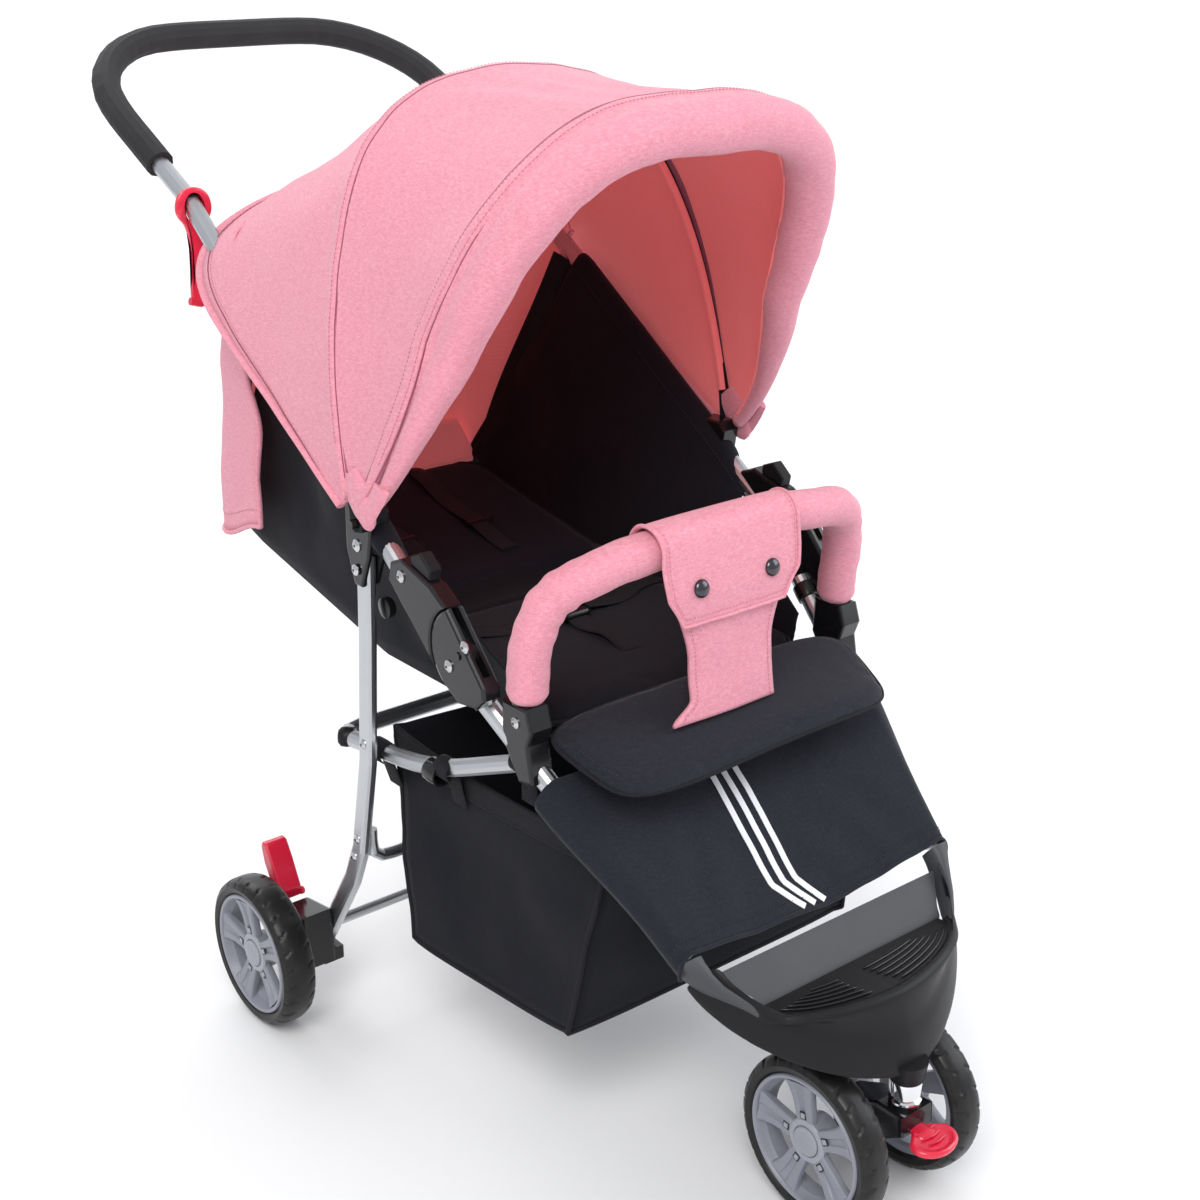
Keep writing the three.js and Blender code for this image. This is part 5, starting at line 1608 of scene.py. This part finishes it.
def make_hook():
    """The travel hook: a ring round the rail, a waisted stem with an oval slot and a wide foot."""
    ring = rail_upper(206, -1)
    half = [(0, 20.5), (8, 19), (15.5, 13.5), (19, 6), (20, -2), (17.5, -10), (12, -17), (8, -28),
            (5.6, -42), (5.4, -58), (6.2, -72), (8.6, -84), (9.6, -92), (8, -98), (4, -101)]
    outer = spline(half, 40)
    loop = [tuple(q) for q in outer] + [(-x, z) for x, z in outer[::-1]]
    ribs = []
    for depth, scale in ((3.4, 0.95), (2.4, 1.0), (-2.4, 1.0), (-3.4, 0.95)):
        ribs.append([(x * scale, depth, z * (scale if z > -60 else 1.0)) for x, z in loop])
    inner = []
    for k in range(len(loop)):
        a = math.pi / 2 - 2 * math.pi * (k + 0.5) / len(loop)
        inner.append((11.4 * math.cos(a), 15.2 * math.sin(a)))
    rings = ribs + [[(x, -3.4, z) for x, z in inner], [(x, 3.4, z) for x, z in inner]]
    verts = [ring + np.array(point) for layer in rings for point in layer]
    faces = [tuple(k % len(verts) for k in face) for face in quads(len(rings) + 1, len(loop))]
    solid("travel_hook", verts, faces, "red", "fold_hook", "red_plastic", ("fold_hook",), 45)
    foot = [(ring[0] - 12, ring[1], ring[2] - 97), (ring[0], ring[1], ring[2] - 99.5),
            (ring[0] + 12, ring[1], ring[2] - 97)]
    tube("hook_foot", foot, [4.2, 5.6, 4.2], "red", "fold_hook", "red_plastic", 14)


make_wheels()
make_footrest()
make_fittings()
make_pedals()
make_swivel_lock()
make_hook()
make_canopy()
make_visor()
make_curtain()
make_back_tuck()
make_seat()
make_harness()
make_wings()
make_calf_flap()
make_apron()
make_bumper()
make_basket()


# ---------------------------------------------------------------- carried-over CAD nodes
LOOKS = {
    "tube": ("front_rail", "push_rail", "handle_tube", "rear_leg", "leg_cross_tube", "rear_cross_rod",
             "seat_tube", "seat_cross_tube"),
    "chrome": ("caster_stem", "front_axle"),
    "gloss": ("fold_housing", "leg_bracket", "bumper_mount", "wheel_carrier", "caster_fork"),
    "satin": ("footrest", "fold_release"),
    "foam": ("handle_grip",),
    "rim": ("front_rim", "rear_rim"),
    "tyre": ("front_tyre", "rear_tyre"),
    "red": ("brake_pedal", "swivel_lock", "fold_hook"),
}
for name, obj in NODES.items():
    look = next((k for k, stems in LOOKS.items() if name.startswith(stems)), "black")
    obj.data.materials.clear()
    obj.data.materials.append(MAT[look])
    obj.data.polygons.foreach_set("use_smooth", [True] * len(obj.data.polygons))
    sharpen(obj, 38)
    if look in ("gloss", "satin", "red"):
        bevel(obj, 0.0016 if "housing" in name or "mount" in name or "bracket" in name else 0.0008, 3, 30)


# ---------------------------------------------------------------- studio
def studio():
    """A pale floor that curves up into a wall behind the stroller, and three soft lights."""
    size, curve, wall = 9.0, 1.2, 1.9
    profile = [(-size, 0.0), (wall, 0.0)]
    for k in range(1, 13):
        a = k / 12 * math.pi / 2
        profile.append((wall + curve * math.sin(a), curve * (1 - math.cos(a))))
    profile.append((wall + curve, 7.0))
    turn = math.radians(-39.5)
    verts, faces = [], []
    for s in (-size, size):
        for d, z in profile:
            x, y = s, d
            verts.append((x * math.cos(turn) - y * math.sin(turn), x * math.sin(turn) + y * math.cos(turn),
                          z))
    count = len(profile)
    for i in range(count - 1):
        faces.append((i, i + count, i + count + 1, i + 1))
    n = Nodes("backdrop", (0.86, 0.86, 0.865), 0.75)
    n.colour(n.mix(n.noise(3, 3), (0.87, 0.87, 0.875), (0.85, 0.85, 0.855)))
    mesh = bpy.data.meshes.new("floor")
    mesh.from_pydata(verts, [], faces)
    mesh.materials.append(n.material)
    mesh.polygons.foreach_set("use_smooth", [True] * len(mesh.polygons))
    floor = bpy.data.objects.new("floor", mesh)
    bpy.context.scene.collection.objects.link(floor)

    world = bpy.data.worlds.new("studio")
    bpy.context.scene.world = world
    world.use_nodes = True
    world.node_tree.nodes["Background"].inputs["Color"].default_value = (0.93, 0.95, 1.0, 1)
    world.node_tree.nodes["Background"].inputs["Strength"].default_value = 0.75
    for name, place, target, power, width, tint in (
            ("key", (-2.4, -2.2, 3.6), (0, 0, 0.5), 120, 2.2, (1, 0.985, 0.96)),
            ("fill", (2.8, -1.8, 2.0), (0, -0.1, 0.5), 55, 2.4, (0.95, 0.97, 1)),
            ("back", (0.6, 2.9, 3.0), (0, 0, 0.7), 60, 2.4, (1, 1, 1))):
        light = bpy.data.lights.new(name, "AREA")
        light.energy = power
        light.size = width
        light.color = tint
        lamp = bpy.data.objects.new(name, light)
        lamp.location = place
        lamp.rotation_euler = (Vector(target) - Vector(place)).to_track_quat("-Z", "Y").to_euler()
        bpy.context.scene.collection.objects.link(lamp)


def camera():
    """The photo's camera: its lens, axes and place were fitted to points seen in the photo."""
    data = bpy.data.cameras.new("camera")
    data.sensor_width = 36.0
    data.lens = 54.36
    data.clip_end = 50
    cam = bpy.data.objects.new("camera", data)
    right = Vector((0.7726, -0.6349, 0.0031))
    up = Vector((0.2298, 0.2842, 0.9308))
    back = Vector((-0.5918, -0.7184, 0.3655))
    turn = Matrix((right, up, back)).transposed().to_4x4()
    cam.matrix_world = Matrix.Translation(at(-1083.8, -1525.9, 1147.0)) @ turn
    bpy.context.scene.collection.objects.link(cam)
    bpy.context.scene.camera = cam


studio()
camera()
bpy.context.scene.view_settings.view_transform = "Standard"
